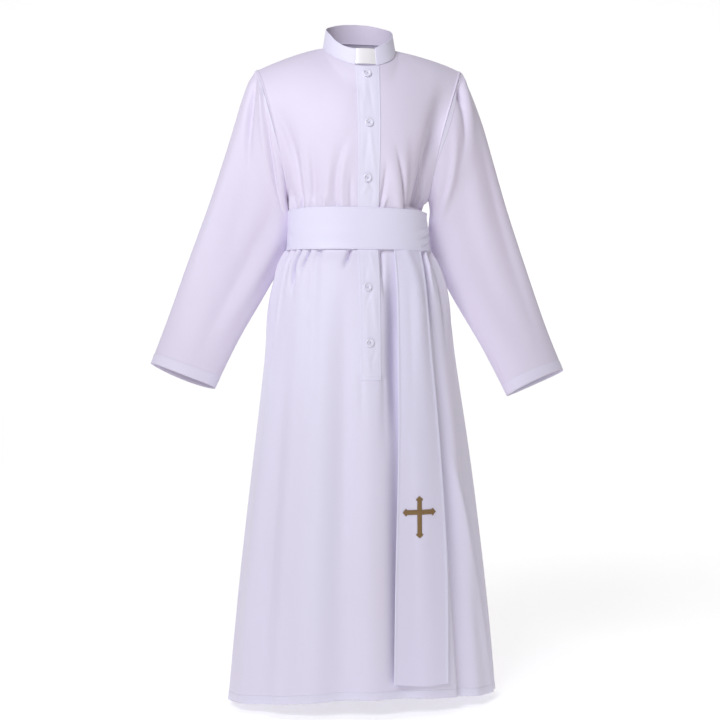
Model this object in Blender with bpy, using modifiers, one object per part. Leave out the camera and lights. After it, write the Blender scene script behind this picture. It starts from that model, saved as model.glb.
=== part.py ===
"""White ankle-length cassock with a stand collar, a half placket and a wide sash with one hanging end.

The garment is hollow and filled out as it is worn, with its neck, cuffs and hem open. Metres, +Z up,
front towards -Y and the wearer's left towards +X. The origin is the middle of the neck's base.
Angles round the body are degrees from the centre front, positive towards +X.
"""

from collections import namedtuple
from math import atan2, radians

import bmesh
import bpy
import numpy as np

CLOTH = 0.0012
SEAM_GAP = 0.0004
DEEP_VALLEY = 0.5

SHOULDER_TIP = (0.219, 0.005, -0.052)
SHOULDER_CURVE = 1.35
LEFT_SHOULDER_RAISE = 0.011
UNDERARM_HEIGHT = -0.316
HEM_SIDE = -1.351
HEM_FRONT_RISE = 0.022
HEM_BACK_RISE = 0.006
HEM_RISE_TOP = -0.450

NECK_HALF_WIDTH = 0.077
NECK_FRONT = 0.078
NECK_BACK = 0.060
NECK_SEAM_FRONT = -0.050
NECK_SEAM_RISE = 0.074
NECK_SEAM_SWELL = 0.0125
NECK_SHARE = 0.38
UNDERARM_ARRIVAL = 13.0
ARMHOLE_CORNER = (0.006, 0.062, 0.060)
FOLDS_START = 0.35
FOLDS_REACH_SIDE = 0.03
PANEL_NECK_STEPS = 8
PANEL_SHOULDER_STEPS = 9
FRONT_STRIP_REACH = 0.75
FRONT_STRIP_SAMPLES = 181
ARMHOLE_STEPS = 11

COLLAR_LEAN = 0.006
COLLAR_OPENING = 16.6
COLLAR_WALL = 0.0014
COLLAR_ROWS = (1.0, 0.5, 0.0)
TAB_HALF_ANGLE = 22.5
TAB_WALL = 0.0008
TAB_HEIGHTS = (-0.0505, -0.033, -0.0160)

PLACKET_TOP_EDGES = (-0.0222, 0.0252)
PLACKET_END_EDGES = (-0.0208, 0.0192)
PLACKET_TOP_LEVEL = 0.012
PLACKET_END = -0.700
PLACKET_EASE = 0.0004
BUTTON_RADIUS = 0.009
BUTTON_HEIGHT = 0.0030
BUTTON_LIFT = 0.0004
BUTTON_PROFILE = ((0, 0.55), (0.48, 0.55), (0.62, 1), (0.85, 1), (1, 0.6), (0.95, 0), (0, 0))
BUTTON_STEPS = 18

SASH_TOP = (-0.339, -0.344)
SASH_BOTTOM = (-0.426, -0.424)
SASH_WALL = 0.0016
SASH_STEPS = 60
SASH_OVERLAP = 8.0
SASH_CLEARANCE = 0.0026
SASH_LAP_START = 0.80
SASH_LAP_LENGTH = 0.14

TAIL_WALL = 0.0012
TAIL_STEPS = 8
TAIL_STAND_OFF = 0.0055
TAIL_FLUTE = 0.0035
TAIL_END_CURVE = 0.005
TAIL_FALL = 0.10
TAIL_FLAT = -1.05
TAIL_FADE = 0.50

CROSS_BAR = 0.0100
CROSS_ARMS = {"up": 0.032, "down": 0.0515, "side": 0.0350}
CROSS_CENTRE = (0.0955, -0.9585)
CROSS_WALL = 0.0008
CROSS_SPUR_START = 0.010
CROSS_SPURS = ((0.0070, 0.0080), (0.0045, 0.0062), (0.0, 0.0012))

CollarTop = namedtuple("CollarTop", "angle height")
COLLAR_TOP = (
    CollarTop(0.0, -0.0165),
    CollarTop(16.6, -0.0160),
    CollarTop(37.5, -0.0060),
    CollarTop(54.0, 0.0070),
    CollarTop(72.0, 0.0250),
    CollarTop(90.0, 0.0370),
    CollarTop(124.0, 0.0510),
    CollarTop(157.0, 0.0615),
    CollarTop(180.0, 0.0640),
)

BodyRing = namedtuple("BodyRing", "height half_width front back shift squareness")
BODY_RINGS = (
    BodyRing(-0.200, 0.168, 0.106, 0.100, 0.000, 0.84),
    BodyRing(-0.277, 0.158, 0.109, 0.098, 0.000, 0.84),
    BodyRing(-0.318, 0.1500, 0.111, 0.100, 0.000, 0.86),
    BodyRing(-0.342, 0.1450, 0.105, 0.094, -0.004, 0.88),
    BodyRing(-0.385, 0.1435, 0.102, 0.090, -0.004, 0.88),
    BodyRing(-0.426, 0.1490, 0.104, 0.093, -0.004, 0.88),
    BodyRing(-0.455, 0.1640, 0.116, 0.106, -0.003, 0.90),
    BodyRing(-0.490, 0.1760, 0.126, 0.118, -0.001, 0.93),
    BodyRing(-0.540, 0.1880, 0.134, 0.128, 0.000, 0.95),
    BodyRing(-0.640, 0.1990, 0.143, 0.140, 0.000, 0.97),
    BodyRing(-0.840, 0.2225, 0.153, 0.153, 0.002, 1.00),
    BodyRing(-1.100, 0.2515, 0.160, 0.164, 0.003, 1.00),
    BodyRing(-1.351, 0.2775, 0.165, 0.174, 0.004, 1.00),
)
SASH_ROWS = (-0.341, -0.362, -0.385, -0.406, -0.426)
SKIRT_ROWS = (-0.440, -0.462, -0.495, -0.545, -0.615, -0.700, -0.790, -0.880, -0.975)
HEM_ROWS = (-1.070, -1.165, -1.260, HEM_SIDE)
LOWER_HEIGHTS = (-0.329, *SASH_ROWS, *SKIRT_ROWS, *HEM_ROWS)

Button = namedtuple("Button", "height aside")
BUTTONS = (
    Button(-0.0675, 0.0000),
    Button(-0.1720, 0.0000),
    Button(-0.2840, -0.0040),
    Button(-0.5065, -0.0035),
    Button(-0.6185, -0.0010),
)

Guide = namedtuple("Guide", "across x y z")
FRONT_GUIDES = (
    Guide(0.00, 0.000, -0.106, -0.120),
    Guide(0.19, 0.048, -0.101, -0.088),
    Guide(0.38, 0.090, -0.087, -0.046),
    Guide(0.70, 0.150, -0.081, -0.050),
    Guide(1.00, 0.203, -0.070, -0.097),
)
BACK_GUIDES = (
    Guide(0.00, 0.000, 0.104, -0.018),
    Guide(0.19, 0.046, 0.100, -0.016),
    Guide(0.38, 0.090, 0.094, -0.030),
    Guide(0.70, 0.150, 0.080, -0.046),
    Guide(1.00, 0.205, 0.067, -0.097),
)

SKIRT_FOLD_FADE = 0.10
FREE_BELOW_SASH = 0.020
FREE_ABOVE_SASH = 0.014
Fold = namedtuple("Fold", "angle spread depth top bottom lean")
SKIRT_FOLDS = (
    Fold(-78, 6, 0.007, -0.430, -0.80, 4),
    Fold(-60, 5, 0.006, -0.430, -0.66, 0),
    Fold(-46, 5, 0.006, -0.430, -0.62, 6),
    Fold(-12, 5, 0.004, -0.430, -0.58, 4),
    Fold(22, 5, 0.005, -0.430, -0.62, -4),
    Fold(46, 5, 0.007, -0.430, -0.70, -8),
    Fold(62, 6, 0.007, -0.430, -0.74, -4),
    Fold(80, 6, 0.006, -0.430, -0.70, 0),
    Fold(-70, 9, 0.009, -0.560, -1.60, 0),
    Fold(-46, 9, 0.010, -0.520, -1.60, 0),
    Fold(-22, 9, 0.010, -0.520, -1.60, 0),
    Fold(-4, 7, 0.006, -0.640, -1.60, 0),
    Fold(22, 8, 0.010, -0.520, -1.60, 0),
    Fold(44, 8, 0.008, -0.560, -1.60, -4),
    Fold(64, 8, 0.010, -0.600, -1.60, -6),
    Fold(86, 9, 0.009, -0.560, -1.60, 0),
    Fold(104, 5, 0.007, -0.430, -0.72, 0),
    Fold(122, 5, 0.006, -0.430, -0.64, 6),
    Fold(140, 5, 0.007, -0.430, -0.70, 0),
    Fold(157, 5, 0.006, -0.430, -0.62, -4),
    Fold(176, 5, 0.007, -0.430, -0.68, 0),
    Fold(194, 5, 0.006, -0.430, -0.64, 4),
    Fold(212, 5, 0.007, -0.430, -0.72, 0),
    Fold(231, 5, 0.006, -0.430, -0.64, -6),
    Fold(251, 6, 0.007, -0.430, -0.74, 0),
    Fold(111, 9, 0.010, -0.560, -1.60, 0),
    Fold(135, 9, 0.012, -0.540, -1.60, 3),
    Fold(158, 9, 0.011, -0.600, -1.60, 0),
    Fold(180, 9, 0.012, -0.540, -1.60, 0),
    Fold(203, 9, 0.011, -0.580, -1.60, -3),
    Fold(227, 9, 0.012, -0.540, -1.60, 0),
    Fold(251, 9, 0.010, -0.560, -1.60, 0),
)
BODICE_FOLDS = (
    Fold(-76, 6, 0.006, -0.295, -0.340, 40),
    Fold(-58, 5, 0.007, -0.210, -0.340, 50),
    Fold(-43, 5, 0.006, -0.240, -0.340, 30),
    Fold(-22, 5, 0.006, -0.190, -0.340, -60),
    Fold(14, 5, 0.005, -0.220, -0.340, 0),
    Fold(31, 5, 0.008, -0.180, -0.340, 60),
    Fold(45, 5, 0.007, -0.210, -0.340, 20),
    Fold(60, 5, 0.007, -0.190, -0.340, -20),
    Fold(78, 6, 0.006, -0.295, -0.340, -30),
    Fold(102, 6, 0.006, -0.295, -0.340, 20),
    Fold(118, 6, 0.007, -0.170, -0.340, 50),
    Fold(136, 6, 0.006, -0.220, -0.340, 30),
    Fold(154, 6, 0.007, -0.180, -0.340, 20),
    Fold(172, 6, 0.006, -0.230, -0.340, 0),
    Fold(190, 6, 0.007, -0.190, -0.340, 0),
    Fold(208, 6, 0.006, -0.210, -0.340, -20),
    Fold(226, 6, 0.007, -0.170, -0.340, -40),
    Fold(244, 6, 0.007, -0.190, -0.340, -50),
    Fold(260, 6, 0.006, -0.295, -0.340, -20),
)

SleeveRing = namedtuple("SleeveRing", "outer_x outer_y outer_z inner_x inner_y inner_z half_depth")
SLEEVE_RINGS = (
    SleeveRing(0.219, 0.005, -0.052, 0.151, 0.000, -0.316, 0.049),
    SleeveRing(0.239, 0.008, -0.084, 0.161, 0.010, -0.338, 0.051),
    SleeveRing(0.263, 0.014, -0.145, 0.1595, 0.022, -0.360, 0.049),
    SleeveRing(0.288, 0.022, -0.222, 0.1555, 0.034, -0.391, 0.045),
    SleeveRing(0.322, 0.031, -0.327, 0.162, 0.036, -0.437, 0.039),
    SleeveRing(0.3665, 0.034, -0.454, 0.202, 0.026, -0.515, 0.034),
    SleeveRing(0.407, 0.024, -0.576, 0.262, 0.000, -0.620, 0.032),
    SleeveRing(0.4390, 0.001, -0.669, 0.310, -0.030, -0.719, 0.031),
)
SLEEVE_STEPS = 16
SLEEVE_BLEND = 0.30
LOWERED_FROM = 0.15
DRAWN_IN_FROM = 0.35
DRAWN_IN_TO = 0.85
CUFF_TILT_FROM = 0.6
CUFF_TILT = 0.0055
INNER_DRAWN_FROM = 0.22
INNER_DRAWN_LENGTH = 0.4
Arm = namedtuple("Arm", "side lowered drawn_in cuff_sag")
ARMS = {
    "sleeve_left": Arm(1, 0.0085, -0.005, 0.002),
    "sleeve_right": Arm(-1, -0.0085, 0.0095, -0.003),
}
SleeveFold = namedtuple("SleeveFold", "angle spread depth start end lean")
SLEEVE_FOLDS = (
    SleeveFold(60, 16, 0.006, 0.03, 0.42, 40),
    SleeveFold(112, 16, 0.006, 0.02, 0.50, -30),
    SleeveFold(88, 15, -0.006, 0.25, 0.70, 30),
    SleeveFold(140, 14, 0.005, 0.35, 0.80, -40),
    SleeveFold(228, 16, 0.006, 0.05, 0.55, 30),
    SleeveFold(290, 16, 0.006, 0.03, 0.45, -40),
    SleeveFold(262, 15, -0.006, 0.30, 0.75, 0),
)

TailRow = namedtuple("TailRow", "height left right")
TAIL_ROWS = (
    TailRow(-0.406, 0.053, 0.113),
    TailRow(-0.540, 0.052, 0.119),
    TailRow(-0.820, 0.051, 0.140),
    TailRow(-1.100, 0.043, 0.154),
    TailRow(-1.320, 0.039, 0.154),
)

CLOTH_COLOUR = (0.76, 0.72, 0.88)
SASH_COLOUR = (0.78, 0.75, 0.92)
TAB_COLOUR = (0.80, 0.78, 0.86)
BUTTON_COLOUR = (0.78, 0.76, 0.88)
THREAD_COLOUR = (0.24, 0.16, 0.06)


def smooth(share):
    """0 below 0, 1 above 1 and an even S curve between them."""
    share = np.clip(share, 0.0, 1.0)
    return share * share * (3.0 - 2.0 * share)


def through_rows(rows, name, by, at):
    """One column of a table as a smooth curve: cubic pieces whose slopes are the rows' own differences."""
    places = np.array([getattr(row, by) for row in rows])
    values = np.array([getattr(row, name) for row in rows])
    if places[0] > places[-1]:
        places, values = places[::-1], values[::-1]
    slopes = np.gradient(values, places)
    at = np.clip(at, places[0], places[-1])
    index = np.clip(np.searchsorted(places, at) - 1, 0, len(places) - 2)
    width = places[index + 1] - places[index]
    share = (at - places[index]) / width
    start, end = values[index], values[index + 1]
    return (
        start * (1 + 2 * share) * (1 - share) ** 2
        + end * share**2 * (3 - 2 * share)
        + width * share * (1 - share) * (slopes[index] * (1 - share) - slopes[index + 1] * share)
    )


def neck_seam(angle):
    """Height of the seam between collar and body: level in front, then rising round to the nape."""
    half, full = np.sin(np.radians(angle) / 2) ** 2, np.sin(np.radians(angle)) ** 2
    return NECK_SEAM_FRONT + NECK_SEAM_RISE * half + NECK_SEAM_SWELL * full


def collar_top(angle):
    return through_rows(COLLAR_TOP, "height", "angle", np.minimum(angle, 360.0 - angle))


def neck_point(angle, height, inset):
    """A point of the collar's oval at this angle and height, the oval made smaller by inset."""
    sine, cosine = np.sin(np.radians(angle)), np.cos(np.radians(angle))
    depth = np.where(cosine > 0, NECK_FRONT, NECK_BACK) - inset
    return np.stack([(NECK_HALF_WIDTH - inset) * sine, -depth * cosine, height + 0 * sine], axis=-1)


def fold_push(folds, held, fade, angle, height):
    """How far the folds push the cloth out: one soft ridge a row, leaning from the end that is held."""
    push = np.zeros(np.broadcast(angle, height).shape)
    for fold in folds:
        middle = fold.angle + fold.lean * (height - getattr(fold, held))
        away = (angle - middle + 180.0) % 360.0 - 180.0
        push = push + fold.depth * np.exp(-((away / fold.spread) ** 2)) * fade(fold, height)
    return push


def skirt_fade(fold, height):
    """The share of a skirt fold at a height: it comes in below its top and goes out round its bottom."""
    coming = smooth((fold.top - height) / SKIRT_FOLD_FADE)
    return coming * smooth((height - fold.bottom) / SKIRT_FOLD_FADE + 0.5)


def bodice_fade(fold, height):
    """The share of a bodice fold at a height: it grows all the way down to the sash."""
    return smooth((fold.top - height) / (fold.top - fold.bottom))


def body_fold_push(angle, height):
    """The folds of the whole body. The sash holds the cloth flat, and they come in over a little height."""
    below = smooth((SASH_BOTTOM[0] - height) / FREE_BELOW_SASH)
    above = smooth((height - SASH_ROWS[0]) / FREE_ABOVE_SASH)
    skirt = fold_push(SKIRT_FOLDS, "top", skirt_fade, angle, height)
    bodice = fold_push(BODICE_FOLDS, "bottom", bodice_fade, angle, height)
    return below * skirt + above * bodice


def ring_point(angle, height):
    """A point of the body's horizontal sections: an oval whose front and back halves have unlike depths."""
    sine, cosine = np.sin(np.radians(angle)), np.cos(np.radians(angle))
    width, front, back, shift, square = (
        through_rows(BODY_RINGS, name, "height", height) for name in BodyRing._fields[1:]
    )
    depth = np.where(cosine > 0, front, back)
    x = shift + width * np.sign(sine) * np.abs(sine) ** square
    y = -depth * np.sign(cosine) * np.abs(cosine) ** square
    return np.stack(np.broadcast_arrays(x, y, height), axis=-1).copy()


def hem_rise(angle, height):
    """How much higher than at the sides the cloth of this row hangs, which grows down to the hem."""
    cosine = np.cos(np.radians(angle))
    middle = (HEM_FRONT_RISE + HEM_BACK_RISE) / 2
    swing = (HEM_FRONT_RISE - HEM_BACK_RISE) / 2
    share = np.clip((height - HEM_RISE_TOP) / (HEM_SIDE - HEM_RISE_TOP), 0.0, 1.0)
    return cosine**2 * (middle + swing * cosine) * share


def level_of(height):
    """The level of a body row: 0 at the neck and shoulder seams, 1 at the underarm and 2 at the hem."""
    return 1.0 + (np.asarray(height) - UNDERARM_HEIGHT) / (HEM_SIDE - UNDERARM_HEIGHT)


def across_angle(across, facing):
    """Angle round the body of a panel's column, which runs from -1 at one side seam to 1 at the other."""
    return 90.0 * across if facing < 0 else 180.0 - 90.0 * across


def top_line(across, facing):
    """A panel's upper edge: the neckline and then the shoulder seam."""
    reach, side = np.abs(across), np.sign(across)
    round_neck = np.minimum(reach / NECK_SHARE, 1.0)
    along = np.clip((reach - NECK_SHARE) / (1.0 - NECK_SHARE), 0.0, 1.0)
    turn = 90.0 * round_neck if facing < 0 else 180.0 - 90.0 * round_neck
    neck = neck_point(turn, neck_seam(turn), 0.0)
    tip = np.array(SHOULDER_TIP)
    x = neck[..., 0] + (tip[0] - NECK_HALF_WIDTH) * along
    y = neck[..., 1] + tip[1] * along
    z = neck[..., 2] + (tip[2] - neck_seam(90.0)) * along**SHOULDER_CURVE
    return np.stack([side * x, y, z], axis=-1)


def guide_points(across, facing):
    """The points that draw a panel's columns out over the chest or the shoulder blades."""
    guides = FRONT_GUIDES if facing < 0 else BACK_GUIDES
    mirrored = guides[1]._replace(across=-guides[1].across, x=-guides[1].x)
    reach, side = np.abs(across), np.sign(across)
    x, y, z = (through_rows((mirrored, *guides), name, "across", reach) for name in "xyz")
    return np.stack([side * x, y, z], axis=-1)


def underarm_line(across, facing):
    """A panel's row at the underarm, with the way its columns arrive there."""
    angle = across_angle(across, facing)
    edge = ring_point(angle, UNDERARM_HEIGHT + 0 * angle)
    lower = ring_point(angle, UNDERARM_HEIGHT - 0.01 + 0 * angle)
    arrive = (lower - edge) * UNDERARM_ARRIVAL
    reach, side = np.abs(across), np.sign(across)
    inwards, along, down = ARMHOLE_CORNER
    corner = np.stack(np.broadcast_arrays(-inwards * side, -facing * along, -down), axis=-1)
    return edge, arrive + (corner - arrive) * reach[..., None] ** 3


def panel_point(across, level, facing):
    """The panel's surface before its folds: a cubic from edge to edge above the underarm, ovals below it."""
    across, level = np.broadcast_arrays(across, level)
    top, guide = top_line(across, facing), guide_points(across, facing)
    low, arrive = underarm_line(across, facing)
    t = np.clip(level, 0.0, 1.0)[..., None]
    upper = (
        top * (1 - t) ** 3
        + 3 * guide * t * (1 - t) ** 2
        + 3 * (low - arrive) * t**2 * (1 - t)
        + low * t**3
    )
    outwards = smooth((across - NECK_SHARE) / (1.0 - NECK_SHARE))
    upper[..., 2] += LEFT_SHOULDER_RAISE * outwards * (1 - t[..., 0]) ** 2
    angle = across_angle(across, facing)
    height = UNDERARM_HEIGHT + np.maximum(level - 1.0, 0.0) * (HEM_SIDE - UNDERARM_HEIGHT)
    lower = ring_point(angle, height)
    lower[..., 2] += hem_rise(angle, height)
    return np.where(level[..., None] <= 1.0, upper, lower)


def normals_of(grid):
    """Outward unit normals of a grid whose rows run down and whose columns run towards +X in front."""
    down, along = np.gradient(grid, axis=0), np.gradient(grid, axis=1)
    normal = np.cross(down, along)
    return normal / np.linalg.norm(normal, axis=-1, keepdims=True)


def panel(across, level, facing):
    """A panel with its folds, and its normals. The folds die out towards the seams with other pieces."""
    across, level = np.meshgrid(across, level)
    base = panel_point(across, level, facing)
    outward = normals_of(base) * (-facing)
    angle = across_angle(across, facing)
    side = np.abs(across) ** 8 * (1.0 - smooth((level - 1.0) / FOLDS_REACH_SIDE))
    quiet = smooth(level / FOLDS_START) * (1.0 - side)
    push = body_fold_push(angle, base[..., 2]) * quiet
    grid = base + outward * push[..., None]
    return grid, normals_of(grid) * (-facing)


def sleeve(arm, around, along):
    """A sleeve as flattened rings from the armhole to the cuff, with its folds, and its normals.

    Round a ring 0 is the outer edge, 90 the front, 180 the inner edge and 270 the back. Near the
    shoulder the rings are drawn on to the armhole, which the body panels' own edges give.
    """
    around, along = np.meshgrid(around, along)
    Station = namedtuple("Station", SleeveRing._fields + ("place",))
    last = len(SLEEVE_RINGS) - 1
    stations = [Station(*row, place=i / last) for i, row in enumerate(SLEEVE_RINGS)]
    values = {name: through_rows(stations, name, "place", along) for name in SleeveRing._fields}
    outer = np.stack([values["outer_x"], values["outer_y"], values["outer_z"]], axis=-1)
    inner = np.stack([values["inner_x"], values["inner_y"], values["inner_z"]], axis=-1)
    middle = np.sin(DRAWN_IN_TO * np.pi * along) * smooth(along / DRAWN_IN_FROM)
    outer[..., 0] -= arm.drawn_in * middle
    inner[..., 0] -= arm.drawn_in * middle * smooth((along - INNER_DRAWN_FROM) / INNER_DRAWN_LENGTH)
    lowered = -arm.lowered * smooth((along - LOWERED_FROM) / (1 - LOWERED_FROM))
    outer[..., 2] += lowered
    inner[..., 2] += lowered
    wide = (outer - inner) / 2
    level = np.stack([wide[..., 0], wide[..., 1], 0 * along], axis=-1)
    level = level / np.linalg.norm(level, axis=-1, keepdims=True)
    front = np.stack([level[..., 1], -level[..., 0], 0 * along], axis=-1)
    turn = np.radians(around)[..., None]
    deep = front * values["half_depth"][..., None]
    ring = (outer + inner) / 2 + wide * np.cos(turn) + deep * np.sin(turn)
    sine = np.sin(turn)[..., 0]
    tilted = smooth((along - CUFF_TILT_FROM) / (1 - CUFF_TILT_FROM))
    ring[..., 2] += tilted * (CUFF_TILT * sine + arm.cuff_sag * sine**2)
    armhole = armhole_points(around[0], arm.side)
    ring = ring + (armhole - ring[0]) * (1.0 - np.clip(along / SLEEVE_BLEND, 0, 1))[..., None] ** 2
    push = np.zeros(along.shape)
    for fold in SLEEVE_FOLDS:
        away = (around - fold.angle - fold.lean * (along - fold.start) + 180.0) % 360.0 - 180.0
        fade = np.sin(np.pi * np.clip((along - fold.start) / (fold.end - fold.start), 0, 1)) ** 2
        push = push + fold.depth * np.exp(-((away / fold.spread) ** 2)) * fade
    outward = ring_normals(ring)
    ring = ring + outward * push[..., None]
    outward = ring_normals(ring)
    mirror = np.array([arm.side, 1.0, 1.0])
    return ring * mirror, outward * mirror


def ring_normals(ring):
    """Outward unit normals of a grid whose rows are closed rings, going down the sleeve."""
    down = np.gradient(ring, axis=0)
    round_it = np.roll(ring, -1, axis=1) - np.roll(ring, 1, axis=1)
    normal = np.cross(round_it, down)
    return normal / np.linalg.norm(normal, axis=-1, keepdims=True)


def armhole_points(around, side):
    """One side's armhole at these angles round its sleeve, from the two panels' edges, turned to +X."""
    front = panel_point(side, np.clip(around / 180.0, 0, 1), -1)
    back = panel_point(side, np.clip((360.0 - around) / 180.0, 0, 1), 1)
    return np.where((around <= 180.0)[..., None], front, back) * np.array([side, 1.0, 1.0])


def trim_edges(outer, inner, edges):
    """Moves the named edges of both faces of a wall in by half a seam's gap."""
    pairs = {"first": (0, 1), "last": (-1, -2)}
    for axis, end in edges:
        here, there = pairs[end]
        step = (outer.take(there, axis) - outer.take(here, axis)).copy()
        step = step / np.linalg.norm(step, axis=-1, keepdims=True) * SEAM_GAP / 2
        for points in (outer, inner):
            if axis == 0:
                points[here] += step
            else:
                points[:, here] += step


def material(name, colour, roughness, sheen=0.0):
    made = bpy.data.materials.new(name)
    made.use_nodes = True
    shader = made.node_tree.nodes["Principled BSDF"]
    shader.inputs["Base Color"].default_value = (*colour, 1.0)
    shader.inputs["Roughness"].default_value = roughness
    shader.inputs["Metallic"].default_value = 0.0
    shader.inputs["Sheen Weight"].default_value = sheen
    made.diffuse_color = (*colour, 1.0)
    return made


def add_object(name, mesh, surface):
    made = bpy.data.objects.new(name, mesh)
    garment.objects.link(made)
    mesh.materials.append(surface)
    return made


def split_quads(points, quads):
    """Each four-sided face cut along its shorter diagonal."""
    corners = points[quads]
    one_way = np.linalg.norm(corners[:, 0] - corners[:, 2], axis=1)
    other_way = np.linalg.norm(corners[:, 1] - corners[:, 3], axis=1)
    first = (one_way <= other_way)[:, None]
    return np.concatenate([
        np.where(first, quads[:, [0, 1, 2]], quads[:, [0, 1, 3]]),
        np.where(first, quads[:, [0, 2, 3]], quads[:, [1, 2, 3]]),
    ])


def wall(name, outer, inner, surface, closed=False):
    """A cloth wall lofted between two grids of points, its outer and inner faces, with rims round it.

    Both faces are cut into triangles alike, so that they stay apart where a fold twists them.
    """
    rows, columns = outer.shape[:2]
    number = np.arange(rows * columns).reshape(rows, columns)
    if closed:
        number = np.concatenate([number, number[:, :1]], axis=1)
    below = rows * columns
    quads = np.stack([number[:-1, :-1], number[1:, :-1], number[1:, 1:], number[:-1, 1:]], axis=-1)
    sheet = split_quads(outer.reshape(-1, 3), quads.reshape(-1, 4))
    faces = [*sheet.tolist(), *(sheet[:, ::-1] + below).tolist()]
    edges = [number[0], number[-1, ::-1]]
    if not closed:
        edges += [number[::-1, 0], number[:, -1]]
    for edge in edges:
        faces += np.stack([edge[:-1], edge[1:], edge[1:] + below, edge[:-1] + below], axis=-1).tolist()
    mesh = bpy.data.meshes.new(name)
    points = np.concatenate([outer.reshape(-1, 3), inner.reshape(-1, 3)])
    mesh.from_pydata(points.tolist(), [], faces)
    mesh.update()
    mesh.shade_smooth()
    mesh.set_sharp_from_angle(angle=radians(50))
    turned_out(mesh)
    return add_object(name, mesh, surface)


def turned_out(mesh):
    """Turns every face of a closed mesh outwards."""
    shape = bmesh.new()
    shape.from_mesh(mesh)
    bmesh.ops.recalc_face_normals(shape, faces=shape.faces)
    shape.to_mesh(mesh)
    shape.free()


def shell(name, grid, thickness, surface):
    """A wall whose outer face is this grid, thickened inwards."""
    rows, columns = grid.shape[:2]
    number = np.arange(rows * columns).reshape(rows, columns)
    quads = np.stack([number[:-1, :-1], number[1:, :-1], number[1:, 1:], number[:-1, 1:]], axis=-1)
    mesh = bpy.data.meshes.new(name)
    mesh.from_pydata(grid.reshape(-1, 3).tolist(), [], quads.reshape(-1, 4).tolist())
    mesh.update()
    mesh.shade_smooth()
    made = add_object(name, mesh, surface)
    solidify = made.modifiers.new("Wall", "SOLIDIFY")
    solidify.thickness = thickness
    solidify.offset = -1.0
    return made


def even_or_own(own, other, step):
    """Normals at a seam: shared, so that the walls meet in a mitre, except in a deep valley."""
    shared = own + other
    shared = shared / np.linalg.norm(shared, axis=-1, keepdims=True)
    ridge = np.sum(step * own, axis=-1) < 0
    shallow = np.sum(own * other, axis=-1) > DEEP_VALLEY
    mitred = (ridge | shallow)[..., None]
    return np.where(mitred, shared, own), np.where(mitred, shared, other)


def make_body_and_sleeves(cloth):
    half = np.concatenate([
        np.linspace(0, NECK_SHARE, PANEL_NECK_STEPS + 1)[:-1],
        np.linspace(NECK_SHARE, 1, PANEL_SHOULDER_STEPS + 1),
    ])
    across = np.concatenate([-half[:0:-1], half])
    upper = np.linspace(0, 1, ARMHOLE_STEPS + 1)
    level = np.concatenate([upper, level_of(LOWER_HEIGHTS)])
    grids, normals = {}, {}
    for name, facing in (("front", -1), ("back", 1)):
        grids[name], normals[name] = panel(across, level, facing)
    shoulder = half.size - 1 - PANEL_SHOULDER_STEPS
    for side in (0, -1):
        both = normals["front"][:, side] + normals["back"][:, side]
        both = both / np.linalg.norm(both, axis=-1, keepdims=True)
        for name in ("front", "back"):
            normals[name][ARMHOLE_STEPS:, side] = both[ARMHOLE_STEPS:]
    seam = np.abs(across) >= half[shoulder] - 1e-9
    both = normals["front"][0] + normals["back"][0]
    both = both / np.linalg.norm(both, axis=-1, keepdims=True)
    for name in ("front", "back"):
        normals[name][0][seam] = both[seam]

    around = np.concatenate([upper * 180.0, 180.0 + upper[1:-1] * 180.0])
    along = np.concatenate([[0.0, 0.03], np.linspace(0.08, 1.0, SLEEVE_STEPS - 1)])
    for name, arm in ARMS.items():
        ring, outward = sleeve(arm, around, along)
        side = -1 if arm.side > 0 else 0
        for panel_name, places in (
            ("front", np.arange(ARMHOLE_STEPS + 1)),
            ("back", np.r_[0, np.arange(2 * ARMHOLE_STEPS - 1, ARMHOLE_STEPS - 1, -1)]),
        ):
            own = normals[panel_name][: ARMHOLE_STEPS + 1, side]
            step = ring[1, places] - ring[0, places]
            body_side, sleeve_side = even_or_own(own, outward[0, places], step)
            normals[panel_name][: ARMHOLE_STEPS + 1, side] = body_side
            outward[0, places] = sleeve_side
        inner = ring - outward * CLOTH
        trim_edges(ring, inner, [(0, "first")])
        wall(name, ring, inner, cloth, closed=True)

    for name, grid in grids.items():
        inner = grid - normals[name] * CLOTH
        trim_edges(grid, inner, [(0, "first"), (1, "first"), (1, "last")])
        wall(name, grid, inner, cloth)


def make_collar(cloth, tab_finish):
    step = 90.0 / PANEL_NECK_STEPS
    between = np.arange(np.ceil(COLLAR_OPENING / step) * step, 360.0 - COLLAR_OPENING, step)
    angle = np.concatenate([[COLLAR_OPENING], between, [360.0 - COLLAR_OPENING]])
    rows = []
    for share in COLLAR_ROWS:
        height = neck_seam(angle) + (collar_top(angle) - neck_seam(angle)) * share
        rows.append(neck_point(angle, height + (1 - share) * SEAM_GAP / 2, COLLAR_LEAN * share))
    shell("collar", np.stack(rows), COLLAR_WALL, cloth)

    angle = np.linspace(-TAB_HALF_ANGLE, TAB_HALF_ANGLE, 9)
    rows = []
    for height in TAB_HEIGHTS[::-1]:
        share = (height - NECK_SEAM_FRONT) / (COLLAR_TOP[0].height - NECK_SEAM_FRONT)
        inset = COLLAR_LEAN * np.clip(share, 0, 1) + COLLAR_WALL + SEAM_GAP
        rows.append(neck_point(angle, height, inset))
    shell("collar_tab", np.stack(rows), TAB_WALL, tab_finish)


def front_strip(levels, lefts, rights, steps):
    """Points of the front panel, with normals, in a strip that lies between two distances from the centre."""
    fine = np.linspace(-FRONT_STRIP_REACH, FRONT_STRIP_REACH, FRONT_STRIP_SAMPLES)
    grid, normals = panel(fine, levels, -1)
    points, outward = [], []
    for row, normal, left, right in zip(grid, normals, lefts, rights):
        x = np.linspace(left, right, steps + 1)
        points.append([np.interp(x, row[:, 0], row[:, i]) for i in range(3)])
        outward.append([np.interp(x, row[:, 0], normal[:, i]) for i in range(3)])
    return np.moveaxis(np.array(points), 1, 2), np.moveaxis(np.array(outward), 1, 2)


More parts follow.
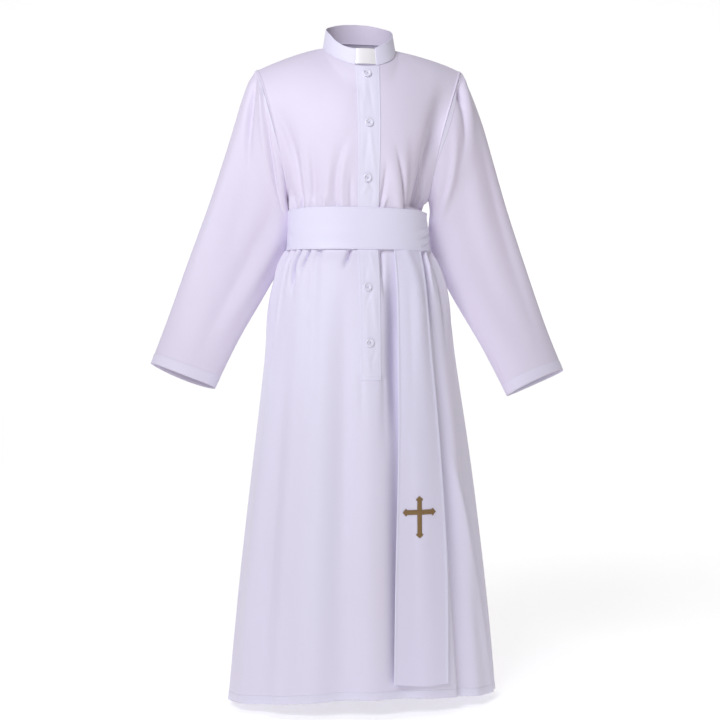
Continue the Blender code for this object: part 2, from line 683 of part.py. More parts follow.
def placket_levels():
    lower = [height for height in LOWER_HEIGHTS if height > PLACKET_END + 0.02]
    upper = np.linspace(0, 1, ARMHOLE_STEPS + 1)
    return np.concatenate([[PLACKET_TOP_LEVEL], upper[1:], level_of([*lower, PLACKET_END])])


def make_placket(cloth, button_finish):
    levels = placket_levels()
    share = levels / levels[-1]
    left, right = (
        top + (end - top) * share for top, end in zip(PLACKET_TOP_EDGES, PLACKET_END_EDGES)
    )
    points, outward = front_strip(levels, left, right, 4)
    grid = points + outward * (SEAM_GAP + PLACKET_EASE + CLOTH)
    shell("placket", grid, CLOTH, cloth)

    middle = grid[:, 2]
    facing = outward[:, 2]
    order = np.argsort(middle[:, 2])
    for number, (height, aside) in enumerate(BUTTONS, start=1):
        y = np.interp(height, middle[order, 2], middle[order, 1])
        tilt = atan2(
            np.interp(height, middle[order, 2], facing[order, 2]),
            -np.interp(height, middle[order, 2], facing[order, 1]),
        )
        button = turned_button(f"button_{number}", button_finish)
        button.rotation_euler = (radians(90) - tilt, 0, 0)
        up, out = np.sin(tilt) * BUTTON_LIFT, np.cos(tilt) * BUTTON_LIFT
        button.location = (aside, y - out, height + up)


def turned_button(name, finish):
    """A round button: a flat back, a raised rounded rim and a dished middle, turned about its own Z."""
    mesh = bpy.data.meshes.new(name)
    points = [(x * BUTTON_RADIUS, 0, z * BUTTON_HEIGHT) for x, z in BUTTON_PROFILE]
    mesh.from_pydata(points, [(i, i + 1) for i in range(len(points) - 1)], [])
    made = add_object(name, mesh, finish)
    turning = made.modifiers.new("Turned", "SCREW")
    turning.steps = BUTTON_STEPS
    turning.render_steps = BUTTON_STEPS
    turning.use_merge_vertices = True
    turning.merge_threshold = 0.00002
    turning.use_normal_calculate = True
    return made


def make_sash(finish):
    """The sash: one strip round the waist. At the centre back its outer end laps over the inner one."""
    angle = 180.0 + np.linspace(-SASH_OVERLAP / 2, 360.0 + SASH_OVERLAP / 2, SASH_STEPS + 1)
    front = (1 + np.cos(np.radians(angle))) / 2
    top = SASH_TOP[1] + (SASH_TOP[0] - SASH_TOP[1]) * front
    bottom = SASH_BOTTOM[1] + (SASH_BOTTOM[0] - SASH_BOTTOM[1]) * front
    turned = np.linspace(0.0, 1.0, SASH_STEPS + 1)
    lap = (SASH_WALL + 2 * SEAM_GAP) * smooth((turned - SASH_LAP_START) / SASH_LAP_LENGTH)
    heights = [top, *(height + 0 * angle for height in SASH_ROWS[1:-1]), bottom]
    grid = np.stack([ring_point(angle, height) for height in heights])
    outward = normals_of(grid)
    grid = grid + outward * (SASH_CLEARANCE + SASH_WALL + lap)[None, :, None]
    shell("sash", grid, SASH_WALL, finish)


def tail_point(across, height):
    """Points of the hanging end on the front panel's cloth, standing off it in two soft flutes."""
    across, height = np.meshgrid(across, height)
    left = through_rows(TAIL_ROWS, "left", "height", height)[:, 0]
    right = through_rows(TAIL_ROWS, "right", "height", height)[:, 0]
    points, outward = front_strip(level_of(height[:, 0]), left, right, across.shape[1] - 1)
    free = smooth((SASH_BOTTOM[0] - height) / TAIL_FALL)
    gathered = TAIL_FLUTE * free * smooth((height - TAIL_FLAT) / TAIL_FADE)
    flute = gathered * (1 - np.cos(4 * np.pi * across)) / 2
    lift = SEAM_GAP + TAIL_WALL + free * TAIL_STAND_OFF + flute
    return points + outward * lift[..., None]


def make_tail(finish, thread):
    top, end = TAIL_ROWS[0].height, TAIL_ROWS[-1].height
    heights = np.array([height for height in LOWER_HEIGHTS if top >= height > end + 0.03] + [end])
    across = np.linspace(0, 1, TAIL_STEPS + 1)
    grid = tail_point(across, heights)
    grid[-1, :, 2] -= TAIL_END_CURVE * np.sin(np.pi * across)
    shell("sash_tail", grid, TAIL_WALL, finish)

    fine = tail_point(np.linspace(0, 1, 41), np.linspace(-0.85, -1.10, 61))
    outward = normals_of(fine)

    def on_tail(x, z):
        row = np.abs(fine[:, 0, 2] - z).argmin()
        point = [np.interp(x, fine[row, :, 0], fine[row, :, i]) for i in range(3)]
        normal = [np.interp(x, fine[row, :, 0], outward[row, :, i]) for i in range(3)]
        return np.array([x, point[1], z]) + np.array(normal) * (SEAM_GAP * 2 + CROSS_WALL)

    make_cross(on_tail, thread)


def arm_profile(length):
    """Half widths along an arm of the cross: a plain bar, a pair of spurs near its end and a pointed tip."""
    half = CROSS_BAR / 2
    straight = np.linspace(half, length - CROSS_SPUR_START, 5)[1:]
    spurs = [(length - short, wide) for short, wide in CROSS_SPURS]
    return [(reach, half) for reach in straight] + spurs


def make_cross(on_tail, thread):
    """A plain Latin cross with pointed ends, its four arms lofted from the corners of the crossing."""
    shape = bmesh.new()
    half = CROSS_BAR / 2

    def corner(x, z):
        return shape.verts.new(on_tail(CROSS_CENTRE[0] + x, CROSS_CENTRE[1] + z))

    corners = [corner(-half, half), corner(half, half), corner(half, -half), corner(-half, -half)]
    shape.faces.new(corners)
    ways = (("up", (0, 1)), ("side", (1, 0)), ("down", (0, -1)), ("side", (-1, 0)))
    for number, (arm, (dx, dz)) in enumerate(ways):
        one, two = corners[number], corners[(number + 1) % 4]
        for reach, wide in arm_profile(CROSS_ARMS[arm]):
            next_one = corner(dx * reach - dz * wide, dz * reach + dx * wide)
            next_two = corner(dx * reach + dz * wide, dz * reach - dx * wide)
            shape.faces.new((one, next_one, next_two, two))
            one, two = next_one, next_two
    bmesh.ops.recalc_face_normals(shape, faces=shape.faces)
    if sum(face.normal.y for face in shape.faces) > 0:
        bmesh.ops.reverse_faces(shape, faces=shape.faces)
    mesh = bpy.data.meshes.new("sash_cross")
    shape.to_mesh(mesh)
    shape.free()
    made = add_object("sash_cross", mesh, thread)
    solidify = made.modifiers.new("Plate", "SOLIDIFY")
    solidify.thickness = CROSS_WALL
    solidify.offset = -1.0


for old in list(bpy.data.objects):
    bpy.data.objects.remove(old, do_unlink=True)
garment = bpy.data.collections.new("cassock")
bpy.context.scene.collection.children.link(garment)

cloth_finish = material("cassock cloth", CLOTH_COLOUR, 0.6, sheen=0.3)
sash_finish = material("sash cloth", SASH_COLOUR, 0.55, sheen=0.3)
tab_finish = material("collar tab plastic", TAB_COLOUR, 0.4)
button_finish = material("button plastic", BUTTON_COLOUR, 0.3)
thread_finish = material("cross thread", THREAD_COLOUR, 0.5)

make_body_and_sleeves(cloth_finish)
make_collar(cloth_finish, tab_finish)
make_placket(cloth_finish, button_finish)
make_sash(sash_finish)
make_tail(sash_finish, thread_finish)
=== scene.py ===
"""A white ankle-length cassock with a stand collar, a half placket and a wide sash, as it is worn.

Metres, +Z up, the front towards -Y and the wearer's left towards +X. The origin is the middle of the
neck's base. Angles round the body are degrees from the centre front, positive towards +X.
"""

from collections import namedtuple

import bpy
import numpy as np
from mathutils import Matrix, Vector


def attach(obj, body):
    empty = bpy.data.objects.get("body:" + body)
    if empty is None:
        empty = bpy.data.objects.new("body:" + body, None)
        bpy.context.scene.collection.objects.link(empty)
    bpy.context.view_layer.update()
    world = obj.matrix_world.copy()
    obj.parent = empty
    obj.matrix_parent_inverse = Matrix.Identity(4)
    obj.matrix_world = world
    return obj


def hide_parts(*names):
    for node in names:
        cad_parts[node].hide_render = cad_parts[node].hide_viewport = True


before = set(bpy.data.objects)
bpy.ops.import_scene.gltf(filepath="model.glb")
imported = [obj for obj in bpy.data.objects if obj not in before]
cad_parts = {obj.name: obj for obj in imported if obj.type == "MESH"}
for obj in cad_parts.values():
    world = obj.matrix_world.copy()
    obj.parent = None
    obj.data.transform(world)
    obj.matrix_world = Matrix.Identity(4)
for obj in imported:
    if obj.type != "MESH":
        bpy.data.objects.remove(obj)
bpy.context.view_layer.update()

# Front and back: two panels of light satin-weave polyester, cut flared and sewn together along the
# shoulders and down the sides. The sash gathers them at the waist, and below it they hang in soft flutes
# to a 17 mm hem that is turned up and stitched once.
CLOTH = 0.0008
SHOULDER_TIP = (0.219, 0.005, -0.052)
SHOULDER_CURVE = 1.35
LEFT_SHOULDER_RAISE = 0.011
UNDERARM_HEIGHT = -0.316
HEM_SIDE = -1.351
HEM_RISE_TOP = -0.450
HEM_RISE_MIDDLE = 0.014
HEM_RISE_SWING = 0.008
HEM_DEPTH = 0.017
NECK_HALF_WIDTH = 0.077
NECK_LEFT_NARROWER = 0.004
NECK_FRONT = 0.078
NECK_BACK = 0.060
NECK_SEAM_FRONT = -0.050
NECK_SEAM_RISE = 0.074
NECK_SEAM_SWELL = 0.0125
NECK_SHARE = 0.38
UNDERARM_ARRIVAL = 13.0
CORNER_SPREAD = 0.20
CORNER_LEVEL = 0.30
ARMHOLE_LEAN = 0.0075
ARMHOLE_LEAN_SPREAD = 0.0025
ARMHOLE_CORNER = (0.006, 0.062, 0.060)
SEAM_DIP = 0.0007
FOLD_HOLD = 1.5
BRIDGE = 0.005
SEAM_DIP_WIDTH = 0.0025
SEAM_ROLL = 0.0022

BodyRing = namedtuple("BodyRing", "height half_width front back shift squareness")
BODY_RINGS = (
    BodyRing(-0.200, 0.168, 0.106, 0.100, 0.000, 0.84),
    BodyRing(-0.277, 0.158, 0.109, 0.098, 0.000, 0.84),
    BodyRing(-0.318, 0.1490, 0.110, 0.099, -0.003, 0.86),
    BodyRing(-0.345, 0.1430, 0.106, 0.094, -0.006, 0.88),
    BodyRing(-0.385, 0.1435, 0.102, 0.090, -0.004, 0.88),
    BodyRing(-0.428, 0.1495, 0.104, 0.093, -0.0035, 0.88),
    BodyRing(-0.455, 0.1640, 0.116, 0.106, -0.003, 0.90),
    BodyRing(-0.490, 0.1760, 0.126, 0.118, -0.001, 0.93),
    BodyRing(-0.540, 0.1880, 0.134, 0.128, 0.000, 0.95),
    BodyRing(-0.640, 0.1990, 0.143, 0.140, 0.000, 0.97),
    BodyRing(-0.840, 0.2225, 0.153, 0.153, 0.002, 1.00),
    BodyRing(-1.100, 0.2515, 0.160, 0.164, 0.003, 1.00),
    BodyRing(-1.351, 0.2775, 0.165, 0.174, 0.004, 1.00),
)

Guide = namedtuple("Guide", "across x y z")
FRONT_GUIDES = (
    Guide(-0.19, -0.048, -0.101, -0.088),
    Guide(0.00, 0.000, -0.106, -0.120),
    Guide(0.19, 0.048, -0.101, -0.088),
    Guide(0.38, 0.090, -0.087, -0.046),
    Guide(0.70, 0.150, -0.081, -0.050),
    Guide(1.00, 0.203, -0.070, -0.097),
)
BACK_GUIDES = (
    Guide(-0.19, -0.046, 0.100, -0.016),
    Guide(0.00, 0.000, 0.104, -0.018),
    Guide(0.19, 0.046, 0.100, -0.016),
    Guide(0.38, 0.090, 0.094, -0.030),
    Guide(0.70, 0.150, 0.080, -0.046),
    Guide(1.00, 0.205, 0.067, -0.097),
)

Fold = namedtuple("Fold", "top bottom first middle last wide_first wide_last depth edge held skew", defaults=[0.0])
BODICE_FOLDS = (
    Fold(-0.120, -0.350, -88, -66, -57, 8, 6.0, -0.0110, 1.9, "both", 0.2),
    Fold(-0.185, -0.346, -56, -55, -50, 4, 3.0, 0.0040, 2.0, "last"),
    Fold(-0.190, -0.346, -45, -42, -45, 5, 3.6, -0.0070, 1.9, "last", 0.3),
    Fold(-0.305, -0.352, -60, -60, -60, 1.2, 1.8, 0.0100, 1.6, "last"),
    Fold(-0.305, -0.352, -57, -57, -57, 1.2, 1.2, -0.0040, 1.6, "last"),
    Fold(-0.316, -0.352, -44, -44, -44, 1.0, 1.6, 0.0060, 1.6, "last"),
    Fold(-0.220, -0.346, -22, -27, -31, 4, 3.0, 0.0030, 2.0, "last"),
    Fold(-0.305, -0.352, -33, -32, -32, 1.4, 2.0, 0.0045, 1.6, "last"),
    Fold(-0.180, -0.346, -10, -20.5, -20.5, 4.0, 3.0, -0.0050, 1.8, "last", -0.3),
    Fold(-0.200, -0.346, -8.5, -16.4, -16.2, 2.8, 2.2, 0.0022, 2.0, "last"),
    Fold(-0.260, -0.346, -10, -10.6, -9.6, 1.4, 1.4, -0.0036, 1.6, "last"),
    Fold(-0.240, -0.346, 8, 9, 9.2, 1.5, 1.6, -0.0060, 1.5, "last", 0.3),
    Fold(-0.316, -0.352, 13.5, 12, 10.6, 1.2, 1.4, 0.0070, 1.6, "last"),
    Fold(-0.190, -0.346, 8, 15, 27, 6, 4.4, 0.0045, 2.0, "last"),
    Fold(-0.208, -0.346, 13.5, 22, 33.5, 1.8, 1.7, -0.0095, 1.4, "last", 0.5),
    Fold(-0.175, -0.346, 32, 35, 43, 8.0, 8.0, -0.0085, 3.2, "last"),
    Fold(-0.240, -0.346, 38, 40, 44, 2.4, 1.6, 0.0018, 1.8, "last"),
    Fold(-0.170, -0.346, 44, 48, 55, 5, 3.6, -0.0110, 1.8, "last", -0.4),
    Fold(-0.230, -0.346, 50, 53, 59, 1.8, 1.5, 0.0040, 1.7, "last"),
    Fold(-0.200, -0.346, 54, 56, 60, 3, 2.0, -0.0100, 1.6, "last"),
    Fold(-0.240, -0.346, 58, 61, 66, 2.0, 1.8, 0.0080, 1.7, "last"),
    Fold(-0.040, -0.346, 98, 72, 73, 20, 25, -0.0340, 2.6, "last"),
    Fold(-0.250, -0.346, 73, 74, 75, 3.4, 2.4, -0.0070, 1.7, "last"),
    Fold(-0.250, -0.346, 80, 80, 80, 3.4, 2.6, 0.0090, 2.0, "last"),
    Fold(-0.290, -0.346, -80, -79, -78, 5, 3.5, 0.0060, 2.0, "last"),
    Fold(-0.290, -0.346, -72, -71, -70, 4, 2.4, -0.0060, 1.7, "last"),
    Fold(-0.290, -0.346, 100, 102, 103, 6, 4.0, 0.0060, 2.0, "last"),
    Fold(-0.240, -0.346, 106, 109, 112, 5, 3.0, -0.0060, 1.6, "last"),
    Fold(-0.170, -0.346, 112, 117, 121, 7, 4.0, 0.0070, 2.0, "last"),
    Fold(-0.205, -0.346, 122, 127, 130, 5, 3.0, -0.0060, 1.6, "last"),
    Fold(-0.225, -0.346, 134, 137, 139, 6, 3.6, 0.0060, 2.0, "last"),
    Fold(-0.160, -0.346, 140, 145, 148, 5, 2.8, -0.0055, 1.6, "last"),
    Fold(-0.195, -0.346, 150, 154, 157, 7, 4.0, 0.0065, 2.0, "last"),
    Fold(-0.240, -0.346, 164, 165, 166, 5, 2.8, -0.0050, 1.6, "last"),
    Fold(-0.215, -0.346, 173, 173, 174, 6, 4.0, 0.0060, 2.0, "last"),
    Fold(-0.180, -0.346, 183, 182, 182, 5, 2.8, -0.0050, 1.6, "last"),
    Fold(-0.190, -0.346, 192, 191, 190, 7, 4.2, 0.0065, 2.0, "last"),
    Fold(-0.250, -0.346, 200, 199, 199, 5, 2.6, -0.0055, 1.6, "last"),
    Fold(-0.210, -0.346, 212, 209, 207, 6, 3.8, 0.0060, 2.0, "last"),
    Fold(-0.165, -0.346, 222, 219, 216, 5, 3.0, -0.0060, 1.6, "last"),
    Fold(-0.170, -0.346, 232, 228, 225, 7, 4.0, 0.0070, 2.0, "last"),
    Fold(-0.230, -0.346, 238, 236, 234, 5, 2.8, -0.0055, 1.6, "last"),
    Fold(-0.200, -0.346, 248, 246, 243, 6, 3.8, 0.0065, 2.0, "last"),
    Fold(-0.290, -0.346, 260, 260, 260, 5, 3.6, 0.0055, 2.0, "last"),
)
SKIRT_FOLDS = (
    Fold(-0.424, -0.640, -88, -84, -84, 3, 4, 0.0080, 2.0, "first"),
    Fold(-0.424, -0.720, -76, -72, -80, 1.6, 3.0, -0.0150, 1.4, "first", -0.6),
    Fold(-0.424, -0.700, -72, -69, -77, 1.6, 2.6, 0.0060, 1.8, "first"),
    Fold(-0.424, -0.450, -66, -66.5, -67, 0.9, 1.2, -0.0060, 1.6, "first"),
    Fold(-0.424, -0.560, -61, -62, -62, 2.6, 5, 0.0050, 2.0, "first"),
    Fold(-0.424, -0.540, -56, -57.5, -52, 0.9, 1.8, -0.0130, 1.4, "first"),
    Fold(-0.424, -0.510, -53, -54, -50, 1.4, 2.4, 0.0040, 1.8, "first"),
    Fold(-0.424, -0.480, -46, -48, -50, 1.0, 1.2, -0.0160, 1.4, "first", -0.3),
    Fold(-0.455, -0.560, -44, -43, -42, 3, 3, -0.0040, 2.0, "both"),
    Fold(-0.424, -0.440, -36, -36, -36, 2.2, 2.2, -0.0060, 1.8, "first"),
    Fold(-0.424, -0.860, -37, -35, -33, 3.4, 4.4, -0.0040, 2.0, "first"),
    Fold(-0.424, -0.474, -9.4, -12.5, -15.5, 0.9, 1.6, -0.0150, 1.4, "first", -0.3),
    Fold(-0.424, -0.540, 9.6, 8, 8, 1.2, 1.6, -0.0100, 1.4, "first", 0.4),
    Fold(-0.415, -0.820, 15, 16, 15.5, 6.2, 6.8, -0.0220, 2.4, "both"),
    Fold(-0.424, -0.760, 31, 30, 28, 5, 7, 0.0050, 2.0, "first"),
    Fold(-0.424, -0.640, 54.5, 44, 45.5, 1.5, 2.6, -0.0180, 1.5, "first"),
    Fold(-0.400, -1.700, 45, 43, 42, 3.6, 6, -0.0200, 1.8, "both", 0.6),
    Fold(-0.424, -0.540, 59, 50, 51, 1.6, 2.4, 0.0055, 1.7, "first"),
    Fold(-0.424, -0.660, 65, 60, 58, 2.6, 4, -0.0090, 1.7, "first"),
    Fold(-0.424, -0.620, 74, 71, 70, 2.4, 4, 0.0070, 1.8, "first"),
    Fold(-0.424, -0.600, 83, 81, 80, 2.4, 4, -0.0060, 1.6, "first"),
    Fold(-0.560, -1.500, 14.5, 13.5, 12.0, 5.5, 6.5, -0.0160, 2.0, "both"),
    Fold(-0.480, -1.700, -15.5, -15, -12, 5, 8, -0.0110, 2.0, "both"),
    Fold(-0.500, -1.700, -2, -2, -1, 7, 6, 0.0060, 2.0, "both"),
    Fold(-0.500, -1.700, -30, -28, -25, 7, 7, 0.0080, 2.0, "both"),
    Fold(-0.470, -1.700, -46, -43, -38, 7, 7, 0.0080, 2.0, "both"),
    Fold(-0.560, -1.700, -56, -54, -50, 5, 6, -0.0070, 2.0, "both"),
    Fold(-0.560, -1.700, -70, -69, -66, 8, 8, 0.0100, 2.0, "both"),
    Fold(-0.600, -1.700, -84, -84, -83, 7, 7, 0.0060, 2.0, "both"),
    Fold(-0.520, -1.700, 25, 23, 22, 8, 8, 0.0040, 2.0, "both"),
    Fold(-0.620, -1.700, 53, 53, 52, 6, 7, 0.0100, 2.0, "both"),
    Fold(-0.760, -1.500, 44, 62, 82, 4.4, 5, 0.0100, 1.8, "both", -0.2),
    Fold(-0.820, -1.500, 56, 71, 86, 4, 5, -0.0070, 2.0, "both"),
    Fold(-0.560, -1.700, 86, 86, 86, 9, 9, 0.0110, 2.0, "both"),
    Fold(-0.690, -0.830, -6, -6, -6, 1.6, 2.4, -0.0028, 1.6, "first"),
    Fold(-0.690, -0.880, 6.5, 6, 6, 1.6, 2.6, -0.0030, 1.6, "first"),
    Fold(-0.424, -0.720, 96, 97, 98, 3.4, 6, 0.0065, 2.0, "first"),
    Fold(-0.424, -0.560, 102, 102, 102, 2.4, 4, -0.0075, 1.5, "first"),
    Fold(-0.424, -0.660, 109, 110, 111, 3.6, 6, 0.0070, 2.0, "first"),
    Fold(-0.424, -0.580, 115, 115, 117, 2.4, 4, -0.0075, 1.5, "first"),
    Fold(-0.424, -0.700, 122, 123, 125, 4.0, 7, 0.0070, 2.0, "first"),
    Fold(-0.424, -0.540, 130, 130, 131, 2.2, 4, -0.0080, 1.5, "first"),
    Fold(-0.424, -0.640, 137, 138, 139, 3.4, 6, 0.0065, 2.0, "first"),
    Fold(-0.424, -0.600, 144, 144, 146, 2.6, 4, -0.0070, 1.5, "first"),
    Fold(-0.424, -0.720, 152, 153, 156, 4.2, 7, 0.0070, 2.0, "first"),
    Fold(-0.424, -0.550, 160, 160, 160, 2.2, 4, -0.0075, 1.5, "first"),
    Fold(-0.424, -0.640, 167, 167, 168, 3.6, 6, 0.0070, 2.0, "first"),
    Fold(-0.424, -0.570, 174, 174, 174, 2.4, 4, -0.0070, 1.5, "first"),
    Fold(-0.424, -0.680, 182, 182, 181, 4.0, 7, 0.0070, 2.0, "first"),
    Fold(-0.424, -0.550, 190, 190, 189, 2.4, 4, -0.0080, 1.5, "first"),
    Fold(-0.424, -0.640, 197, 197, 196, 3.6, 6, 0.0065, 2.0, "first"),
    Fold(-0.424, -0.600, 205, 205, 204, 2.4, 4, -0.0070, 1.5, "first"),
    Fold(-0.424, -0.720, 213, 212, 210, 4.2, 7, 0.0070, 2.0, "first"),
    Fold(-0.424, -0.540, 221, 221, 221, 2.2, 4, -0.0080, 1.5, "first"),
    Fold(-0.424, -0.640, 229, 228, 227, 3.6, 6, 0.0065, 2.0, "first"),
    Fold(-0.424, -0.580, 236, 236, 236, 2.4, 4, -0.0070, 1.5, "first"),
    Fold(-0.424, -0.700, 244, 243, 241, 4.0, 7, 0.0070, 2.0, "first"),
    Fold(-0.424, -0.560, 252, 252, 252, 2.4, 4, -0.0075, 1.5, "first"),
    Fold(-0.424, -0.680, 260, 260, 260, 3.8, 6, 0.0065, 2.0, "first"),
    Fold(-0.560, -1.700, 111, 111, 112, 8, 8, 0.0090, 2.0, "both"),
    Fold(-0.540, -1.700, 124, 123, 121, 7, 7, -0.0060, 2.0, "both"),
    Fold(-0.540, -1.700, 136, 135, 134, 8, 8, 0.0110, 2.0, "both"),
    Fold(-0.520, -1.700, 147, 147, 148, 6, 7, -0.0070, 2.0, "both"),
    Fold(-0.600, -1.700, 158, 158, 159, 8, 8, 0.0100, 2.0, "both"),
    Fold(-0.540, -1.700, 169, 169, 170, 6, 7, -0.0060, 2.0, "both"),
    Fold(-0.540, -1.700, 181, 180, 180, 8, 8, 0.0110, 2.0, "both"),
    Fold(-0.520, -1.700, 192, 192, 191, 6, 7, -0.0070, 2.0, "both"),
    Fold(-0.580, -1.700, 203, 203, 202, 8, 8, 0.0100, 2.0, "both"),
    Fold(-0.540, -1.700, 215, 215, 216, 6, 7, -0.0060, 2.0, "both"),
    Fold(-0.540, -1.700, 226, 227, 228, 8, 8, 0.0110, 2.0, "both"),
    Fold(-0.520, -1.700, 239, 240, 240, 7, 7, -0.0070, 2.0, "both"),
    Fold(-0.560, -1.700, 251, 251, 251, 8, 8, 0.0090, 2.0, "both"),
)


def smooth(share):
    """0 below 0, 1 above 1 and 3s^2 - 2s^3 between them."""
    share = np.clip(share, 0.0, 1.0)
    return share * share * (3.0 - 2.0 * share)


def through_rows(rows, name, by, at):
    """One column of a table as a smooth curve: cubic pieces whose slopes are the rows' own differences."""
    places = np.array([getattr(row, by) for row in rows])
    values = np.array([getattr(row, name) for row in rows])
    if places[0] > places[-1]:
        places, values = places[::-1], values[::-1]
    slopes = np.gradient(values, places)
    at = np.clip(at, places[0], places[-1])
    index = np.clip(np.searchsorted(places, at) - 1, 0, len(places) - 2)
    width = places[index + 1] - places[index]
    share = (at - places[index]) / width
    bend = slopes[index] * (1 - share) - slopes[index + 1] * share
    start = values[index] * (1 + 2 * share) * (1 - share) ** 2
    return start + values[index + 1] * share**2 * (3 - 2 * share) + width * share * (1 - share) * bend


def neck_seam(angle):
    """Height of the collar's seam: lowest in front, rising with sin^2 of half the angle round to the nape."""
    half, full = np.sin(np.radians(angle) / 2) ** 2, np.sin(np.radians(angle)) ** 2
    return NECK_SEAM_FRONT + NECK_SEAM_RISE * half + NECK_SEAM_SWELL * full


def neck_point(angle, height, inset):
    """A point of the neck's oval, an ellipse with a deeper front half, made smaller by inset."""
    sine, cosine = np.sin(np.radians(angle)), np.cos(np.radians(angle))
    depth = np.where(cosine > 0, NECK_FRONT, NECK_BACK) - inset
    half_width = np.where(sine > 0, NECK_HALF_WIDTH - NECK_LEFT_NARROWER, NECK_HALF_WIDTH) - inset
    return np.stack([half_width * sine, -depth * cosine, height + 0 * sine], axis=-1)


def ring_point(angle, height):
    """A point of the body's level sections: a superellipse whose front and back halves have unlike depths."""
    sine, cosine = np.sin(np.radians(angle)), np.cos(np.radians(angle))
    width, front, back, shift, square = (
        through_rows(BODY_RINGS, name, "height", height) for name in BodyRing._fields[1:]
    )
    depth = np.where(cosine > 0, front, back)
    x = shift + width * np.sign(sine) * np.abs(sine) ** square
    y = -depth * np.sign(cosine) * np.abs(cosine) ** square
    return np.stack(np.broadcast_arrays(x, y, height), axis=-1).copy()


def hem_rise(angle, height):
    """How much higher the cloth hangs in front than at the sides: cos^2 of the angle, growing to the hem."""
    cosine = np.cos(np.radians(angle))
    share = np.clip((height - HEM_RISE_TOP) / (HEM_SIDE - HEM_RISE_TOP), 0.0, 1.0)
    return cosine**2 * (HEM_RISE_MIDDLE + HEM_RISE_SWING * cosine) * share


def level_of(height):
    """The level of a body row: 0 at the neck and shoulder seams, 1 at the underarm and 2 at the hem."""
    return 1.0 + (np.asarray(height) - UNDERARM_HEIGHT) / (HEM_SIDE - UNDERARM_HEIGHT)


def top_point(reach, side, facing):
    """A panel's upper edge: round the neckline, then out along the shoulder seam."""
    round_neck = np.minimum(reach / NECK_SHARE, 1.0)
    along = np.clip((reach - NECK_SHARE) / (1.0 - NECK_SHARE), 0.0, 1.0)
    turn = 90.0 * round_neck if facing < 0 else 180.0 - 90.0 * round_neck
    neck = neck_point(side * turn, neck_seam(turn), 0.0)
    shoulder = side * SHOULDER_TIP[0] - neck_point(side * 90.0, 0.0, 0.0)[..., 0]
    return np.stack([
        neck[..., 0] + shoulder * along,
        neck[..., 1] + SHOULDER_TIP[1] * along,
        neck[..., 2] + (SHOULDER_TIP[2] - neck_seam(90.0)) * along**SHOULDER_CURVE,
    ], axis=-1)


def panel_point(across, level, facing):
    """A panel without folds: above the underarm a cubic from the seams down, below it the level sections.

    Away from its edge the cloth doesn't show the corner between neckline and shoulder, so there each
    column starts from the mean of the edge's points round its own.
    """
    across, level = np.broadcast_arrays(across, level)
    reach, side = np.abs(across), np.where(across < 0, -1.0, 1.0)
    angle = 90.0 * across if facing < 0 else 180.0 - 90.0 * across

    spread = CORNER_SPREAD * smooth(level / CORNER_LEVEL) * np.minimum(1.0, (1.0 - reach) / CORNER_SPREAD)
    top = 0
    for step in np.linspace(-1, 1, 9):
        place = reach + spread * step
        top = top + top_point(np.abs(place), side * np.where(place < 0, -1, 1), facing) / 9
    guides = FRONT_GUIDES if facing < 0 else BACK_GUIDES
    x, y, z = (through_rows(guides, name, "across", reach) for name in "xyz")
    guide = np.stack([side * x, y, z], axis=-1)

    low = ring_point(angle, UNDERARM_HEIGHT + 0 * angle)
    arrive = (ring_point(angle, UNDERARM_HEIGHT - 0.01 + 0 * angle) - low) * UNDERARM_ARRIVAL
    inwards, onwards, down = ARMHOLE_CORNER
    corner = np.stack(np.broadcast_arrays(-inwards * side, -facing * onwards, -down), axis=-1)
    arrive = arrive + (corner - arrive) * reach[..., None] ** 3

    t = np.clip(level, 0.0, 1.0)[..., None]
    upper = top * (1 - t) ** 3 + 3 * guide * t * (1 - t) ** 2 + 3 * (low - arrive) * t**2 * (1 - t) + low * t**3
    lean = ARMHOLE_LEAN + ARMHOLE_LEAN_SPREAD * side
    upper[..., 0] -= lean * reach**2 * np.sin(np.pi * t[..., 0])
    outwards = smooth((across - NECK_SHARE) / (1.0 - NECK_SHARE))
    upper[..., 2] += LEFT_SHOULDER_RAISE * outwards * (1 - t[..., 0]) ** 2
    height = UNDERARM_HEIGHT + np.maximum(level - 1.0, 0.0) * (HEM_SIDE - UNDERARM_HEIGHT)
    lower = ring_point(angle, height)
    lower[..., 2] += hem_rise(angle, height)
    return np.where(level[..., None] <= 1.0, upper, lower), angle


def normals_of(grid):
    """Unit normals of a grid of points: the cross product of its differences down and along."""
    normal = np.cross(np.gradient(grid, axis=0), np.gradient(grid, axis=1))
    return normal / np.maximum(np.linalg.norm(normal, axis=-1, keepdims=True), 1e-12)


def fold_push(folds, angle, height):
    """The sum of the folds: depth * exp(-|u|^edge), u being the distance from the fold's line in widths.

    The line is a quadratic through its three angles. It is held, and so deepest, at its first end, at
    its last, or at neither, where it fades in and out. Skew makes the side towards +X wider and the
    other narrower by that share.
    """
    push = np.zeros(np.broadcast(angle, height).shape)
    for fold in folds:
        t = np.clip((fold.top - height) / (fold.top - fold.bottom), 0.0, 1.0)
        line = (
            fold.first * (1 - t) * (1 - 2 * t) + 4 * fold.middle * t * (1 - t) + fold.last * t * (2 * t - 1)
        )
        away = (angle - line + 180.0) % 360.0 - 180.0
        wide = (fold.wide_first + (fold.wide_last - fold.wide_first) * t) * (1 + fold.skew * np.sign(away))
        fade = {
            "first": (height <= fold.top) * smooth(FOLD_HOLD * (1 - t)),
            "last": (height >= fold.bottom) * smooth(FOLD_HOLD * t),
            "both": np.sin(np.pi * t),
        }[fold.held]
        push += fold.depth * np.exp(-(np.abs(away / wide) ** fold.edge)) * fade
    return push


def edge_steps(count, length, fine):
    """Shares from 0 to 1 with extra steps close to both ends, for edges that are finely rounded or dipped."""
    close = np.array([0.0, 0.35, 0.75, 1.3, 2.1, 3.2]) * fine / length
    middle = np.linspace(close[-1], 1 - close[-1], count)
    return np.concatenate([close[:-1], middle, 1 - close[-2::-1]])


